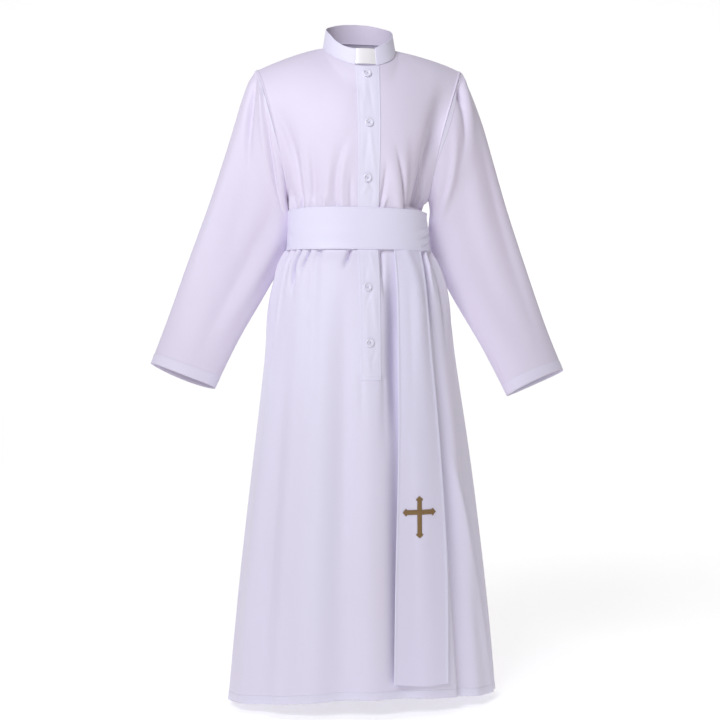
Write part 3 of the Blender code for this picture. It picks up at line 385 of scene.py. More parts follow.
def panel_surface(across, level, facing, valleys=1.0):
    """A panel with its folds, its dipped seams and its thicker hem, and the unit normals that face out.

    With valleys below 1 the folds that go inwards are that much shallower, for pieces that bridge them.
    """
    across, level = np.meshgrid(across, level)
    base, angle = panel_point(across, level, facing)
    height = base[..., 2]
    outward = normals_of(base) * facing * -1
    side = np.abs(across) ** 8 * (1.0 - smooth((level - 1.0) / 0.03))
    quiet = smooth(level / 0.35) * (1.0 - side)
    nominal = height - hem_rise(angle, height)
    below = smooth((-0.424 - height) / 0.008)
    above = smooth((height + 0.3475) / 0.010)
    push = below * fold_push(SKIRT_FOLDS, angle, nominal) + above * fold_push(BODICE_FOLDS, angle, height)
    push = valleys * push + (1 - valleys) * (push + np.hypot(push, BRIDGE) - BRIDGE) / 2
    lift = (push + 0.0016 * (1 - below) * smooth((-0.31 - height) / 0.03)) * quiet
    from_side = (1 - np.abs(across)) * 0.27
    from_top = level * 0.25
    lift -= 0.5 * SEAM_DIP * np.exp(-((from_side / SEAM_DIP_WIDTH) ** 2))
    lift += SEAM_ROLL * np.exp(-(((from_side - 0.0035) / 0.0018) ** 2)) * smooth((1.0 - level) / 0.05)
    lift -= SEAM_DIP * np.exp(-((from_top / SEAM_DIP_WIDTH) ** 2)) * (level < 0.5)
    from_hem = (2.0 - level) * (UNDERARM_HEIGHT - HEM_SIDE)
    lift += 0.0005 * smooth((HEM_DEPTH - from_hem) / 0.002 + 0.5)
    lift -= 0.0004 * np.exp(-(((from_hem - HEM_DEPTH) / 0.0015) ** 2))
    grid = base + outward * lift[..., None]
    return grid, normals_of(grid) * facing * -1


def add_piece(name, mesh, surface):
    """Puts a finished mesh into the scene as a piece that rides on the garment."""
    piece = bpy.data.objects.new(name, mesh)
    bpy.context.scene.collection.objects.link(piece)
    mesh.materials.append(surface)
    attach(piece, "root")
    return piece


def set_layers_and_shade(mesh, values):
    """Writes how much cloth lies behind each point, from 0 for none to 1 for a whole layer or more; on the collar's
    inner face and at the front of the sleeves the values also carry painted shade.
    """
    layer = mesh.attributes.new("LayersAndShade", "FLOAT", "POINT")
    layer.data.foreach_set("value", np.broadcast_to(values, len(mesh.vertices)).astype(np.float32))


def grid_mesh(name, points, uv, layers_and_shade, closed=False, outwards=True):
    """A mesh from a grid of points, rows down and columns along, with its UV map in metres of cloth."""
    rows, columns = points.shape[:2]
    number = np.arange(rows * columns).reshape(rows, columns)
    if closed:
        number = np.concatenate([number, number[:, :1]], axis=1)
        uv = np.concatenate([uv, uv[:, :1] + [uv[:, -1:, 0].max() * columns / (columns - 1), 0]], axis=1)
    corners = (number[:-1, :-1], number[1:, :-1], number[1:, 1:], number[:-1, 1:])
    uvs = (uv[:-1, :-1], uv[1:, :-1], uv[1:, 1:], uv[:-1, 1:])
    if not outwards:
        corners, uvs = corners[::-1], uvs[::-1]
    faces = np.stack(corners, axis=-1).reshape(-1, 4)
    mesh = bpy.data.meshes.new(name)
    mesh.from_pydata(points.reshape(-1, 3), [], faces)
    layer = mesh.uv_layers.new(name="Cloth")
    layer.data.foreach_set("uv", np.stack(uvs, axis=2).reshape(-1).astype(np.float32))
    set_layers_and_shade(mesh, np.broadcast_to(layers_and_shade, points.shape[:2]).ravel())
    mesh.shade_smooth()
    return mesh


def thicken(piece, thickness):
    """Gives a sheet its thickness, inwards from the surface that was drawn."""
    wall = piece.modifiers.new("Thickness", "SOLIDIFY")
    wall.thickness = thickness
    wall.offset = -1.0


def cloth_lengths(grid):
    """UV of a grid in metres: the mean distance along its rows, and down its columns."""
    along = np.linalg.norm(np.diff(grid, axis=1), axis=-1).mean(axis=0)
    down = np.linalg.norm(np.diff(grid, axis=0), axis=-1).mean(axis=1)
    u, v = np.meshgrid(np.r_[0, np.cumsum(along)], -np.r_[0, np.cumsum(down)])
    return np.stack([u, v], axis=-1)


class Term:
    """A socket in a material. Sums and products of terms and numbers add Math nodes; add() adds the rest."""

    def __init__(self, tree, socket=None):
        self.tree = tree
        self.socket = socket

    def add(self, kind, settings=None, values=None, output=0):
        node = self.tree.nodes.new(kind)
        for name, value in (settings or {}).items():
            if name == "stops":
                for element, (place, colour) in zip(node.color_ramp.elements, value):
                    element.position = place
                    element.color = colour
            else:
                setattr(node, name, value)
        for name, value in (values or {}).items():
            if isinstance(value, Term):
                self.tree.links.new(value.socket, node.inputs[name])
            else:
                node.inputs[name].default_value = value
        return Term(self.tree, node.outputs[output])

    def math(self, operation, first, second=0.0):
        return self.add("ShaderNodeMath", {"operation": operation}, {0: first, 1: second})

    def __add__(self, other):
        return self.math("ADD", self, other)

    def __mul__(self, other):
        return self.math("MULTIPLY", self, other)

    def __sub__(self, other):
        return self.math("SUBTRACT", self, other)

    def __rsub__(self, other):
        return self.math("SUBTRACT", other, self)

    __radd__ = __add__
    __rmul__ = __mul__


def new_finish(name, roughness, **constants):
    """A material with its Principled shader's own sockets set: returns it, its shader and a first term."""
    made = bpy.data.materials.new(name)
    made.use_nodes = True
    shader = made.node_tree.nodes["Principled BSDF"]
    shader.inputs["Roughness"].default_value = roughness
    for socket, value in constants.items():
        shader.inputs[socket.replace("_", " ")].default_value = value
    return made, shader, Term(made.node_tree)


def satin_cloth(name, light, deep, roughness, weave, crumple):
    """Satin-weave cloth: floats of yarn as sine ridges in the UV, a faint slub, and a soft crumple.

    Thin white cloth looks bluer and brighter over another layer of itself: the mesh's LayersAndShade says how much lies
    behind, and on the collar's inner face and at the front of the sleeves it also carries painted shade. The colour
    drifts between the two tones in long soft streaks besides.
    """
    made, shader, first = new_finish(name, roughness, Sheen_Weight=0.2, Sheen_Roughness=0.45)
    layers_and_shade = first.add("ShaderNodeAttribute", {"attribute_name": "LayersAndShade"}, output=2)
    uv = first.add("ShaderNodeUVMap", {"uv_map": "Cloth"})
    place = first.add("ShaderNodeTexCoord", output=3)
    split = first.add("ShaderNodeSeparateXYZ", values={0: uv})
    across = Term(made.node_tree, split.socket.node.outputs[0])
    down = Term(made.node_tree, split.socket.node.outputs[1])
    warp = first.math("SINE", across * (2 * np.pi / weave))
    weft = first.math("SINE", down * (2 * np.pi / (weave * 1.4)) + across * (2 * np.pi / (weave * 5)))
    slub = first.add("ShaderNodeTexNoise", values={"Vector": uv, "Scale": 900.0, "Detail": 2.0})
    soft = first.add("ShaderNodeTexNoise", values={"Vector": place, "Scale": 22.0, "Detail": 3.0})
    long = first.add("ShaderNodeMapping", values={"Vector": place, "Scale": (1.0, 1.0, 0.22)})
    broad = first.add("ShaderNodeTexNoise", values={"Vector": long, "Scale": 9.0, "Detail": 1.5})
    threads = warp * 0.30 + weft * 0.22 + slub * 0.5
    fine = first.add("ShaderNodeBump", values={"Strength": 0.22, "Distance": 0.00012, "Height": threads})
    relief = first.add(
        "ShaderNodeBump", values={"Strength": crumple, "Distance": 0.004, "Height": soft, "Normal": fine}
    )
    # The LayersAndShade value sets the tone: cloth lying behind, plus painted shade on the collar's inner face and at
    # the front of the sleeves.
    tone = layers_and_shade + broad * 1.1 + slub * 0.10
    colour = first.add(
        "ShaderNodeMix",
        {"data_type": "RGBA", "clamp_factor": True},
        {0: tone - 0.6, 6: (*deep, 1.0), 7: (*light, 1.0)},
        output=2,
    )
    tree = made.node_tree
    tree.links.new(colour.socket, shader.inputs["Base Color"])
    tree.links.new((soft * 0.12 + (roughness - 0.06)).socket, shader.inputs["Roughness"])
    tree.links.new(relief.socket, shader.inputs["Normal"])
    return made


cassock_cloth = satin_cloth(
    "cassock satin", light=(0.810, 0.785, 0.930), deep=(0.775, 0.712, 0.850), roughness=0.56, weave=0.0006, crumple=0.10
)

def bunched_columns(facing):
    """Places across a panel, equally far apart along the folded cloth at four heights taken together."""
    across = np.linspace(-0.974, 0.974, 2001)
    angle = 90.0 * across if facing < 0 else 180.0 - 90.0 * across
    length = 0
    for height, folds in ((-0.325, BODICE_FOLDS), (-0.29, BODICE_FOLDS), (-0.45, SKIRT_FOLDS), (-0.62, SKIRT_FOLDS)):
        push = fold_push(folds, angle, height)
        length = length + np.hypot(np.gradient(across) * 0.24, np.gradient(push))
    reach = np.cumsum(length) - length[0]
    middle = np.interp(np.linspace(0, reach[-1], 199), reach, across)
    edge = np.array([1.0, 0.9975, 0.994, 0.990, 0.986, 0.982, 0.978])
    return np.concatenate([-edge, middle, edge[::-1]])


panel_level = np.concatenate([
    [0.0, 0.003, 0.007, 0.013],
    np.linspace(0.022, 1.0, 64),
    level_of(np.linspace(-0.318, -0.470, 50)),
    level_of(np.linspace(-0.475, -0.700, 38)),
    level_of(np.linspace(-0.713, -1.328, 44)),
    level_of(HEM_SIDE + np.array([0.0190, 0.0178, 0.0170, 0.0162, 0.0150, 0.009, 0.003, 0.0])),
])
from_hem = (2.0 - panel_level) * (UNDERARM_HEIGHT - HEM_SIDE)
panel_backing = 0.05 + 0.60 * smooth((panel_level - 0.95) / 0.25) + 0.3 * (from_hem < HEM_DEPTH)
panels = {}
for panel_name, facing, cut, area in (
    ("front", -1, (0.86, 1.36), 0.76),
    ("back", 1, (0.88, 1.42), 0.78),
):
    grid, outward = panel_surface(bunched_columns(facing), panel_level, facing)
    panels[panel_name] = (grid, outward)
    piece = add_piece(
        f"{panel_name}_panel",
        grid_mesh(f"{panel_name}_panel", grid, cloth_lengths(grid), panel_backing[:, None], outwards=facing < 0),
        cassock_cloth,
    )
    thicken(piece, CLOTH)
    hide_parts(panel_name)


# Thread: white polyester sewing thread. Each stitch is a short piece of it that comes up out of the
# cloth, lies on it and goes down again. The hem is sewn once round, 17 mm up.
STITCH_RISE = np.array([-0.9, 0.35, 0.75, 0.35, -0.9])
STITCH_PLACES = np.array([0.0, 0.18, 0.5, 0.82, 1.0])
STITCH_SIDES = 6


def stitch_line(path, normal, length, gap, radius):
    """Stitches along a path: rings of six points round five places of each, bowed out along the normal."""
    reach = np.r_[0, np.cumsum(np.linalg.norm(np.diff(path, axis=0), axis=1))]
    start = np.arange(gap, reach[-1] - length, length + gap)
    where = start[:, None] + STITCH_PLACES * length
    middle = np.stack([np.interp(where, reach, path[:, i]) for i in range(3)], axis=-1)
    out = np.stack([np.interp(where, reach, normal[:, i]) for i in range(3)], axis=-1)
    out = out / np.linalg.norm(out, axis=-1, keepdims=True)
    ahead = middle[:, -1:] - middle[:, :1]
    beside = np.cross(ahead, out)
    beside = beside / np.maximum(np.linalg.norm(beside, axis=-1, keepdims=True), 1e-12)
    middle = middle + out * (STITCH_RISE * radius)[None, :, None]
    turn = np.arange(STITCH_SIDES) * 2 * np.pi / STITCH_SIDES
    ring = beside[:, :, None] * np.cos(turn)[:, None] + out[:, :, None] * np.sin(turn)[:, None]
    return (middle[:, :, None] + ring * radius).reshape(-1, 3)


def stitch_mesh(name, lines):
    """One mesh of all the stitches of these lines, each closed at both ends."""
    points = np.concatenate(lines)
    count = len(points) // (len(STITCH_PLACES) * STITCH_SIDES)
    number = np.arange(len(points)).reshape(count, len(STITCH_PLACES), STITCH_SIDES)
    following = np.roll(number, -1, axis=2)
    sides = np.stack([number[:, :-1], following[:, :-1], following[:, 1:], number[:, 1:]], axis=-1)
    ends = np.concatenate([number[:, 0, ::-1], number[:, -1]])
    mesh = bpy.data.meshes.new(name)
    mesh.from_pydata(points, [], sides.reshape(-1, 4).tolist() + ends.tolist())
    mesh.shade_smooth()
    return mesh


def thread_finish(name, colour, roughness):
    """Twisted thread: a bright filament shine, with the twist as a fine noise bump."""
    made, shader, first = new_finish(name, roughness, Sheen_Weight=0.2)
    place = first.add("ShaderNodeTexCoord", output=3)
    twist = first.add("ShaderNodeTexNoise", values={"Vector": place, "Scale": 2500.0, "Detail": 1.0})
    relief = first.add("ShaderNodeBump", values={"Strength": 0.3, "Distance": 0.0001, "Height": twist})
    tone = first.add(
        "ShaderNodeMix",
        {"data_type": "RGBA"},
        {0: twist, 6: (*(c * 0.85 for c in colour), 1.0), 7: (*colour, 1.0)},
        output=2,
    )
    made.node_tree.links.new(tone.socket, shader.inputs["Base Color"])
    made.node_tree.links.new(relief.socket, shader.inputs["Normal"])
    return made


white_thread = thread_finish("white thread", (0.82, 0.79, 0.92), 0.5)


def sewing(name, lines, surface=None):
    """A piece made of stitch lines. It lies on cloth that has its own entry, so it rides alone."""
    return add_piece(name, stitch_mesh(name, lines), surface or white_thread)


hem_row = np.abs(panel_level - level_of(HEM_SIDE + HEM_DEPTH)).argmin()
sewing("hem_stitching", [
    stitch_line(grid[hem_row, 2:-2], outward[hem_row, 2:-2], 0.0028, 0.0009, 0.00022)
    for grid, outward in panels.values()
])


# Sleeves: one piece of the same cloth each, cut wide and straight, sewn into the armhole and hemmed
# 20 mm deep at the cuff. They hang in long drag lines from the shoulder.
CUFF_HEM = 0.020
SLEEVE_LENGTH = 0.62
SEAM_TURNING = 0.0008
TURNING_WIDTH = 0.006
# How far past the turning the band at the front of each armhole reaches; its bluer tone is painted shade along a fold.
FRONT_SHADE_BAND = 0.020
EASE_PUCKER = 0.0009
SLEEVE_BLEND = 0.30
LOWERED_FROM = 0.15
DRAWN_IN_FROM = 0.35
DRAWN_IN_TO = 0.85
CUFF_TILT_FROM = 0.6
INNER_DRAWN_FROM = 0.22
INNER_DRAWN_LENGTH = 0.4

SleeveRing = namedtuple("SleeveRing", "place outer_x outer_y outer_z inner_x inner_y inner_z half_depth")
SLEEVE_RINGS = (
    SleeveRing(0 / 7, 0.219, 0.005, -0.052, 0.151, 0.000, -0.316, 0.049),
    SleeveRing(1 / 7, 0.239, 0.008, -0.084, 0.154, 0.010, -0.338, 0.051),
    SleeveRing(2 / 7, 0.263, 0.014, -0.145, 0.1525, 0.022, -0.360, 0.049),
    SleeveRing(3 / 7, 0.288, 0.022, -0.222, 0.1515, 0.034, -0.391, 0.045),
    SleeveRing(4 / 7, 0.322, 0.031, -0.327, 0.162, 0.036, -0.437, 0.039),
    SleeveRing(5 / 7, 0.3665, 0.034, -0.454, 0.202, 0.026, -0.515, 0.034),
    SleeveRing(6 / 7, 0.407, 0.024, -0.576, 0.262, 0.000, -0.620, 0.032),
    SleeveRing(7 / 7, 0.4390, 0.001, -0.669, 0.310, -0.030, -0.719, 0.031),
)
Arm = namedtuple("Arm", "side lowered drawn_in cuff_tilt cuff_sag folds")
Drag = namedtuple("Drag", "start end first middle last wide depth edge held")
BACK_DRAGS = (
    Drag(0.00, 0.45, 330, 290, 262, 16, -0.0050, 1.7, "first"),
    Drag(0.00, 0.50, 312, 272, 246, 15, 0.0050, 2.0, "first"),
    Drag(0.02, 0.52, 225, 232, 240, 14, 0.0045, 2.0, "both"),
    Drag(0.20, 0.85, 300, 282, 270, 16, -0.0045, 1.8, "both"),
    Drag(0.30, 0.95, 250, 262, 268, 16, 0.0045, 2.0, "both"),
    Drag(0.45, 1.00, 225, 236, 245, 13, -0.0035, 1.8, "both"),
)
LEFT_DRAGS = (
    Drag(-0.06, 0.30, 26, 48, 84, 7, -0.0200, 1.5, "first"),
    Drag(-0.04, 0.40, 4, 38, 84, 13, 0.0080, 2.0, "first"),
    Drag(0.02, 0.46, 62, 100, 134, 14, 0.0050, 2.0, "both"),
    Drag(0.20, 0.95, 38, 46, 70, 12, -0.0035, 1.8, "both"),
    Drag(0.22, 0.80, 64, 72, 88, 14, 0.0035, 2.0, "both"),
    Drag(0.30, 0.95, 98, 96, 104, 15, -0.0030, 2.0, "both"),
    Drag(0.28, 0.80, 135, 138, 140, 12, 0.0030, 2.0, "both"),
)
RIGHT_DRAGS = (
    Drag(-0.04, 0.45, 26, 76, 112, 11, 0.0075, 2.0, "first"),
    Drag(-0.02, 0.44, 14, 40, 66, 8, -0.0130, 1.7, "both"),
    Drag(0.02, 0.40, 66, 102, 132, 9, -0.0070, 1.8, "both"),
    Drag(0.10, 0.85, 34, 30, 40, 14, 0.0035, 2.0, "both"),
    Drag(0.30, 0.80, 64, 74, 84, 15, -0.0030, 2.0, "both"),
    Drag(0.36, 0.98, 116, 104, 108, 12, -0.0045, 1.8, "both"),
    Drag(0.34, 0.95, 138, 130, 128, 12, 0.0040, 2.0, "both"),
    Drag(0.04, 0.55, 176, 172, 168, 26, 0.0070, 2.0, "both"),
)
ARMS = {
    "sleeve_left": Arm(1, 0.0085, -0.005, 0.0120, 0.002, LEFT_DRAGS + BACK_DRAGS),
    "sleeve_right": Arm(-1, -0.0085, 0.0095, 0.0080, -0.003, RIGHT_DRAGS + BACK_DRAGS),
}


def ring_normals(ring):
    """Unit normals that face out of a tube of closed rings, from its differences round and down it."""
    around = np.roll(ring, -1, axis=1) - np.roll(ring, 1, axis=1)
    normal = np.cross(around, np.gradient(ring, axis=0))
    return normal / np.maximum(np.linalg.norm(normal, axis=-1, keepdims=True), 1e-12)


def turning_and_shade_width(around):
    """How far from the seam the band reaches: the turned-in edges, 6 mm, and at the front of the armhole a wider band
    that stands in for a fold, its bluer tone painted shade.
    """
    return TURNING_WIDTH + FRONT_SHADE_BAND * np.exp(-(((around - 75.0) / 40.0) ** 2))


def armhole_points(around, side):
    """One side's armhole at these angles round its sleeve, from the panels' edges, turned to +X."""
    front, _ = panel_point(side, np.clip(around / 180.0, 0, 1), -1)
    back, _ = panel_point(side, np.clip((360.0 - around) / 180.0, 0, 1), 1)
    return np.where((around <= 180.0)[..., None], front, back) * np.array([side, 1.0, 1.0])


def sleeve_surface(arm, around, along):
    """A sleeve as flattened ellipses, outer to inner edge, drawn on to the armhole near the shoulder.

    Round a ring 0 is the outer edge, 90 the front, 180 the inner edge and 270 the back. The drag
    lines push it in and out as the folds of the body do, with angles round the sleeve.
    """
    around, along = np.meshgrid(around, along)
    value = {name: through_rows(SLEEVE_RINGS, name, "place", along) for name in SleeveRing._fields[1:]}
    outer = np.stack([value["outer_x"], value["outer_y"], value["outer_z"]], axis=-1)
    inner = np.stack([value["inner_x"], value["inner_y"], value["inner_z"]], axis=-1)
    middle = np.sin(DRAWN_IN_TO * np.pi * along) * smooth(along / DRAWN_IN_FROM)
    outer[..., 0] -= arm.drawn_in * middle
    inner[..., 0] -= arm.drawn_in * middle * smooth((along - INNER_DRAWN_FROM) / INNER_DRAWN_LENGTH)
    lowered = -arm.lowered * smooth((along - LOWERED_FROM) / (1 - LOWERED_FROM))
    outer[..., 2] += lowered
    inner[..., 2] += lowered
    wide = (outer - inner) / 2
    flat = np.stack([wide[..., 0], wide[..., 1], 0 * along], axis=-1)
    flat = flat / np.linalg.norm(flat, axis=-1, keepdims=True)
    forward = np.stack([flat[..., 1], -flat[..., 0], 0 * along], axis=-1)
    turn = np.radians(around)[..., None]
    deep = forward * value["half_depth"][..., None]
    ring = (outer + inner) / 2 + wide * np.cos(turn) + deep * np.sin(turn)
    sine = np.sin(turn)[..., 0]
    tilted = smooth((along - CUFF_TILT_FROM) / (1 - CUFF_TILT_FROM))
    ring[..., 2] += tilted * (arm.cuff_tilt * sine + arm.cuff_sag * sine**2)
    armhole = armhole_points(around[0], arm.side)
    ring = ring + (armhole - ring[0]) * (1.0 - np.clip(along / SLEEVE_BLEND, 0, 1))[..., None] ** 2
    push = np.zeros(along.shape)
    for drag in arm.folds:
        t = np.clip((along - drag.start) / (drag.end - drag.start), 0.0, 1.0)
        line = drag.first * (1 - t) * (1 - 2 * t) + 4 * drag.middle * t * (1 - t) + drag.last * t * (2 * t - 1)
        away = np.abs((around - line + 180.0) % 360.0 - 180.0) / drag.wide
        fade = smooth(1 - t) * smooth(along / 0.05) if drag.held == "first" else np.sin(np.pi * t) ** 1.5
        push += drag.depth * np.exp(-(away**drag.edge)) * fade
    from_seam = along * SLEEVE_LENGTH
    push -= 0.5 * SEAM_DIP * np.exp(-((from_seam / SEAM_DIP_WIDTH) ** 2))
    push += SEAM_TURNING * smooth((turning_and_shade_width(around) - from_seam) / 0.004 + 0.5)
    from_tip = (around + 180.0) % 360.0 - 180.0
    eased = np.exp(-((from_tip / 55.0) ** 4)) * np.exp(-(((from_seam - 0.010) / 0.009) ** 2))
    push += EASE_PUCKER * np.cos(np.radians(from_tip) * 16) * eased
    from_cuff = (1 - along) * SLEEVE_LENGTH
    push += 0.0005 * smooth((CUFF_HEM - from_cuff) / 0.002 + 0.5)
    push -= 0.0004 * np.exp(-(((from_cuff - CUFF_HEM) / 0.0015) ** 2))
    ring = ring + ring_normals(ring) * push[..., None]
    mirror = np.array([arm.side, 1.0, 1.0])
    return ring * mirror, ring_normals(ring) * mirror


sleeve_around = np.linspace(0, 360, 209)[:-1]
sleeve_along = np.concatenate([
    [0.0, 0.0025, 0.006],
    np.linspace(0.0095, 0.060, 16),
    np.linspace(0.067, 0.955, 112),
    1 - np.array([0.0220, 0.0206, 0.0200, 0.0194, 0.0180]) / SLEEVE_LENGTH,
    [0.976, 0.985, 0.994, 1.0],
])
cuff_row = np.abs(sleeve_along - (1 - CUFF_HEM / SLEEVE_LENGTH)).argmin()
in_hem = sleeve_along[:, None] > 1 - CUFF_HEM / SLEEVE_LENGTH
# The seam turnings, and at the front a wider band whose bluer tone is painted shade.
in_turning_and_shade = smooth((turning_and_shade_width(sleeve_around) - sleeve_along[:, None] * SLEEVE_LENGTH) / 0.004 + 0.5)
sleeve_layers_and_shade = 0.05 + 0.5 * in_hem + 0.45 * in_turning_and_shade
cuff_lines = []
for sleeve_name, arm in ARMS.items():
    ring, outward = sleeve_surface(arm, sleeve_around, sleeve_along)
    mesh = grid_mesh(sleeve_name, ring, cloth_lengths(ring), sleeve_layers_and_shade, closed=True, outwards=arm.side < 0)
    piece = add_piece(f"{sleeve_name}_cloth", mesh, cassock_cloth)
    thicken(piece, CLOTH)
    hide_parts(sleeve_name)
    loop = np.concatenate([ring[cuff_row], ring[cuff_row, :1]])
    loop_out = np.concatenate([outward[cuff_row], outward[cuff_row, :1]])
    cuff_lines.append(stitch_line(loop, loop_out, 0.0028, 0.0009, 0.00022))
sewing("cuff_stitching", cuff_lines)


# Collar: a stand band of the same cloth over stiff interfacing, sewn round the neck and open in front,
# where a plastic tab is pushed in behind its ends.
COLLAR_LEAN = 0.006
COLLAR_OPENING = 16.6
COLLAR_WALL = 0.0017
COLLAR_PROUD = 0.0012
COLLAR_LEFT_RAISE = 0.0075
COLLAR_STAND_OFF = 0.0022
COLLAR_OVERLAP = -0.03
TAB_HALF_ANGLE = 22.5
TAB_WALL = 0.0008
TAB_SLOT = 0.0005
TAB_HEIGHTS = (-0.0462, -0.0135)

CollarTop = namedtuple("CollarTop", "angle height")
COLLAR_TOP = (
    CollarTop(0.0, -0.0150),
    CollarTop(16.6, -0.0140),
    CollarTop(37.5, -0.0060),
    CollarTop(54.0, 0.0070),
    CollarTop(72.0, 0.0250),
    CollarTop(90.0, 0.0370),
    CollarTop(124.0, 0.0510),
    CollarTop(157.0, 0.0615),
    CollarTop(180.0, 0.0640),
)


def rounded_slab(name, grid, outward, thickness, layers_and_shade=1.0):
    """A closed slab on a grid: both faces meet in a half-round edge along all four sides of the grid.

    Within half a thickness of an edge, each face draws in to sqrt(1 - (1 - d)^2) of its half thickness,
    d being the distance from the edge in half thicknesses.
    """
    rows, columns = grid.shape[:2]
    along = np.linalg.norm(np.diff(grid, axis=1), axis=-1)
    down = np.linalg.norm(np.diff(grid, axis=0), axis=-1)
    u = np.concatenate([np.zeros((rows, 1)), np.cumsum(along, axis=1)], axis=1)
    v = np.concatenate([np.zeros((1, columns)), np.cumsum(down, axis=0)], axis=0)
    near = np.minimum(np.minimum(u, u[:, -1:] - u), np.minimum(v, v[-1:] - v)) / (thickness / 2)
    full = np.sqrt(1 - (1 - np.clip(near, 0, 1)) ** 2)[..., None]
    middle = grid - outward * thickness / 2
    outer = middle + outward * full * thickness / 2
    inner = middle - outward * full * thickness / 2
    number = np.arange(rows * columns).reshape(rows, columns)
    behind = number.copy()
    behind[1:-1, 1:-1] = rows * columns + np.arange((rows - 2) * (columns - 2)).reshape(rows - 2, columns - 2)
    uv = np.stack([u, -v], axis=-1)
    faces, uvs = [], []
    for sheet, back in ((number, False), (behind, True)):
        corners = [sheet[:-1, :-1], sheet[1:, :-1], sheet[1:, 1:], sheet[:-1, 1:]]
        places = [uv[:-1, :-1], uv[1:, :-1], uv[1:, 1:], uv[:-1, 1:]]
        if back:
            corners, places = corners[::-1], places[::-1]
        faces.append(np.stack(corners, axis=-1).reshape(-1, 4))
        uvs.append(np.stack(places, axis=2).reshape(-1))
    mesh = bpy.data.meshes.new(name)
    points = np.concatenate([outer.reshape(-1, 3), inner[1:-1, 1:-1].reshape(-1, 3)])
    mesh.from_pydata(points, [], np.concatenate(faces))
    layer = mesh.uv_layers.new(name="Cloth")
    layer.data.foreach_set("uv", np.concatenate(uvs).astype(np.float32))
    set_layers_and_shade(mesh, layers_and_shade)
    mesh.shade_smooth()
    return mesh


def collar_surface(angle, share):
    """The stand band's outer face: lines up from the neck seam to the top edge, leaning inwards.

    At the wearer's front left the band is higher, and its foot stands off the cloth a little.
    """
    angle, share = np.meshgrid(angle, share)
    low = neck_seam(angle)
    top = through_rows(COLLAR_TOP, "height", "angle", np.minimum(angle, 360.0 - angle))
    top = top + COLLAR_LEFT_RAISE * np.exp(-(((angle - 40.0) / 24.0) ** 2))
    foot = np.clip(1 - share, 0, 1)
    stand_off = COLLAR_STAND_OFF * foot**2 * np.exp(-(((angle - 48.0) / 24.0) ** 2))
    grid = neck_point(angle, low + (top - low) * share, COLLAR_LEAN * share - COLLAR_PROUD - stand_off)
    return grid, normals_of(grid)


collar_angle = COLLAR_OPENING + (360 - 2 * COLLAR_OPENING) * edge_steps(150, 0.43, COLLAR_WALL / 2)
collar_share = 1 - (1 - COLLAR_OVERLAP) * edge_steps(14, 0.05, COLLAR_WALL / 2)
grid, outward = collar_surface(collar_angle, collar_share)
# Outer face at 1.0 for the doubled band; inner face at -0.2, which is painted shade inside the collar.
collar_layers_and_shade = np.repeat([1.0, -0.2], [grid[..., 0].size, grid[1:-1, 1:-1, 0].size])
piece = add_piece("collar_band", rounded_slab("collar_band", grid, outward, COLLAR_WALL, collar_layers_and_shade), cassock_cloth)
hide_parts("collar")

tab_angle = np.linspace(-TAB_HALF_ANGLE, TAB_HALF_ANGLE, 41)
tab_height = TAB_HEIGHTS[1] + (TAB_HEIGHTS[0] - TAB_HEIGHTS[1]) * edge_steps(16, 0.035, TAB_WALL / 2)
turned, heights = np.meshgrid(tab_angle, tab_height)
share = np.clip((heights - NECK_SEAM_FRONT) / (COLLAR_TOP[0].height - NECK_SEAM_FRONT), 0, 1)
grid = neck_point(turned, heights, COLLAR_LEAN * share - COLLAR_PROUD + TAB_SLOT)
tab_plastic, shader, first = new_finish("tab plastic", 0.32, Coat_Weight=0.15)
place = first.add("ShaderNodeTexCoord", output=3)
scuff = first.add("ShaderNodeTexNoise", values={"Vector": place, "Scale": 160.0, "Detail": 3.0})
tab_plastic.node_tree.links.new((scuff * 0.12 + 0.28).socket, shader.inputs["Roughness"])
shader.inputs["Base Color"].default_value = (0.86, 0.84, 0.84, 1.0)
piece = add_piece("tab_insert", rounded_slab("tab_insert", grid, normals_of(grid), TAB_WALL), tab_plastic)
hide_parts("collar_tab")

collar_lines = []
for share, inset in ((0.93, 0.93), (0.07, 0.07)):
    turn = np.linspace(COLLAR_OPENING + 1.2, 360 - COLLAR_OPENING - 1.2, 400)
    grid, outward = collar_surface(turn, [share, share - 0.02])
    collar_lines.append(stitch_line(grid[0], outward[0], 0.0024, 0.0008, 0.0002))
sewing("collar_stitching", collar_lines)


# Placket: a band of doubled cloth down the front from the neck to below the sash, stitched along both
# edges and across its end. It closes with five buttons that show; the sash hides the stretch between.
PLACKET_TOP_EDGES = (-0.0222, 0.0275)
PLACKET_END_EDGES = (-0.0230, 0.0180)
PLACKET_TOP_LEVEL = 0.012
PLACKET_END = -0.700
PLACKET_WALL = 0.0014

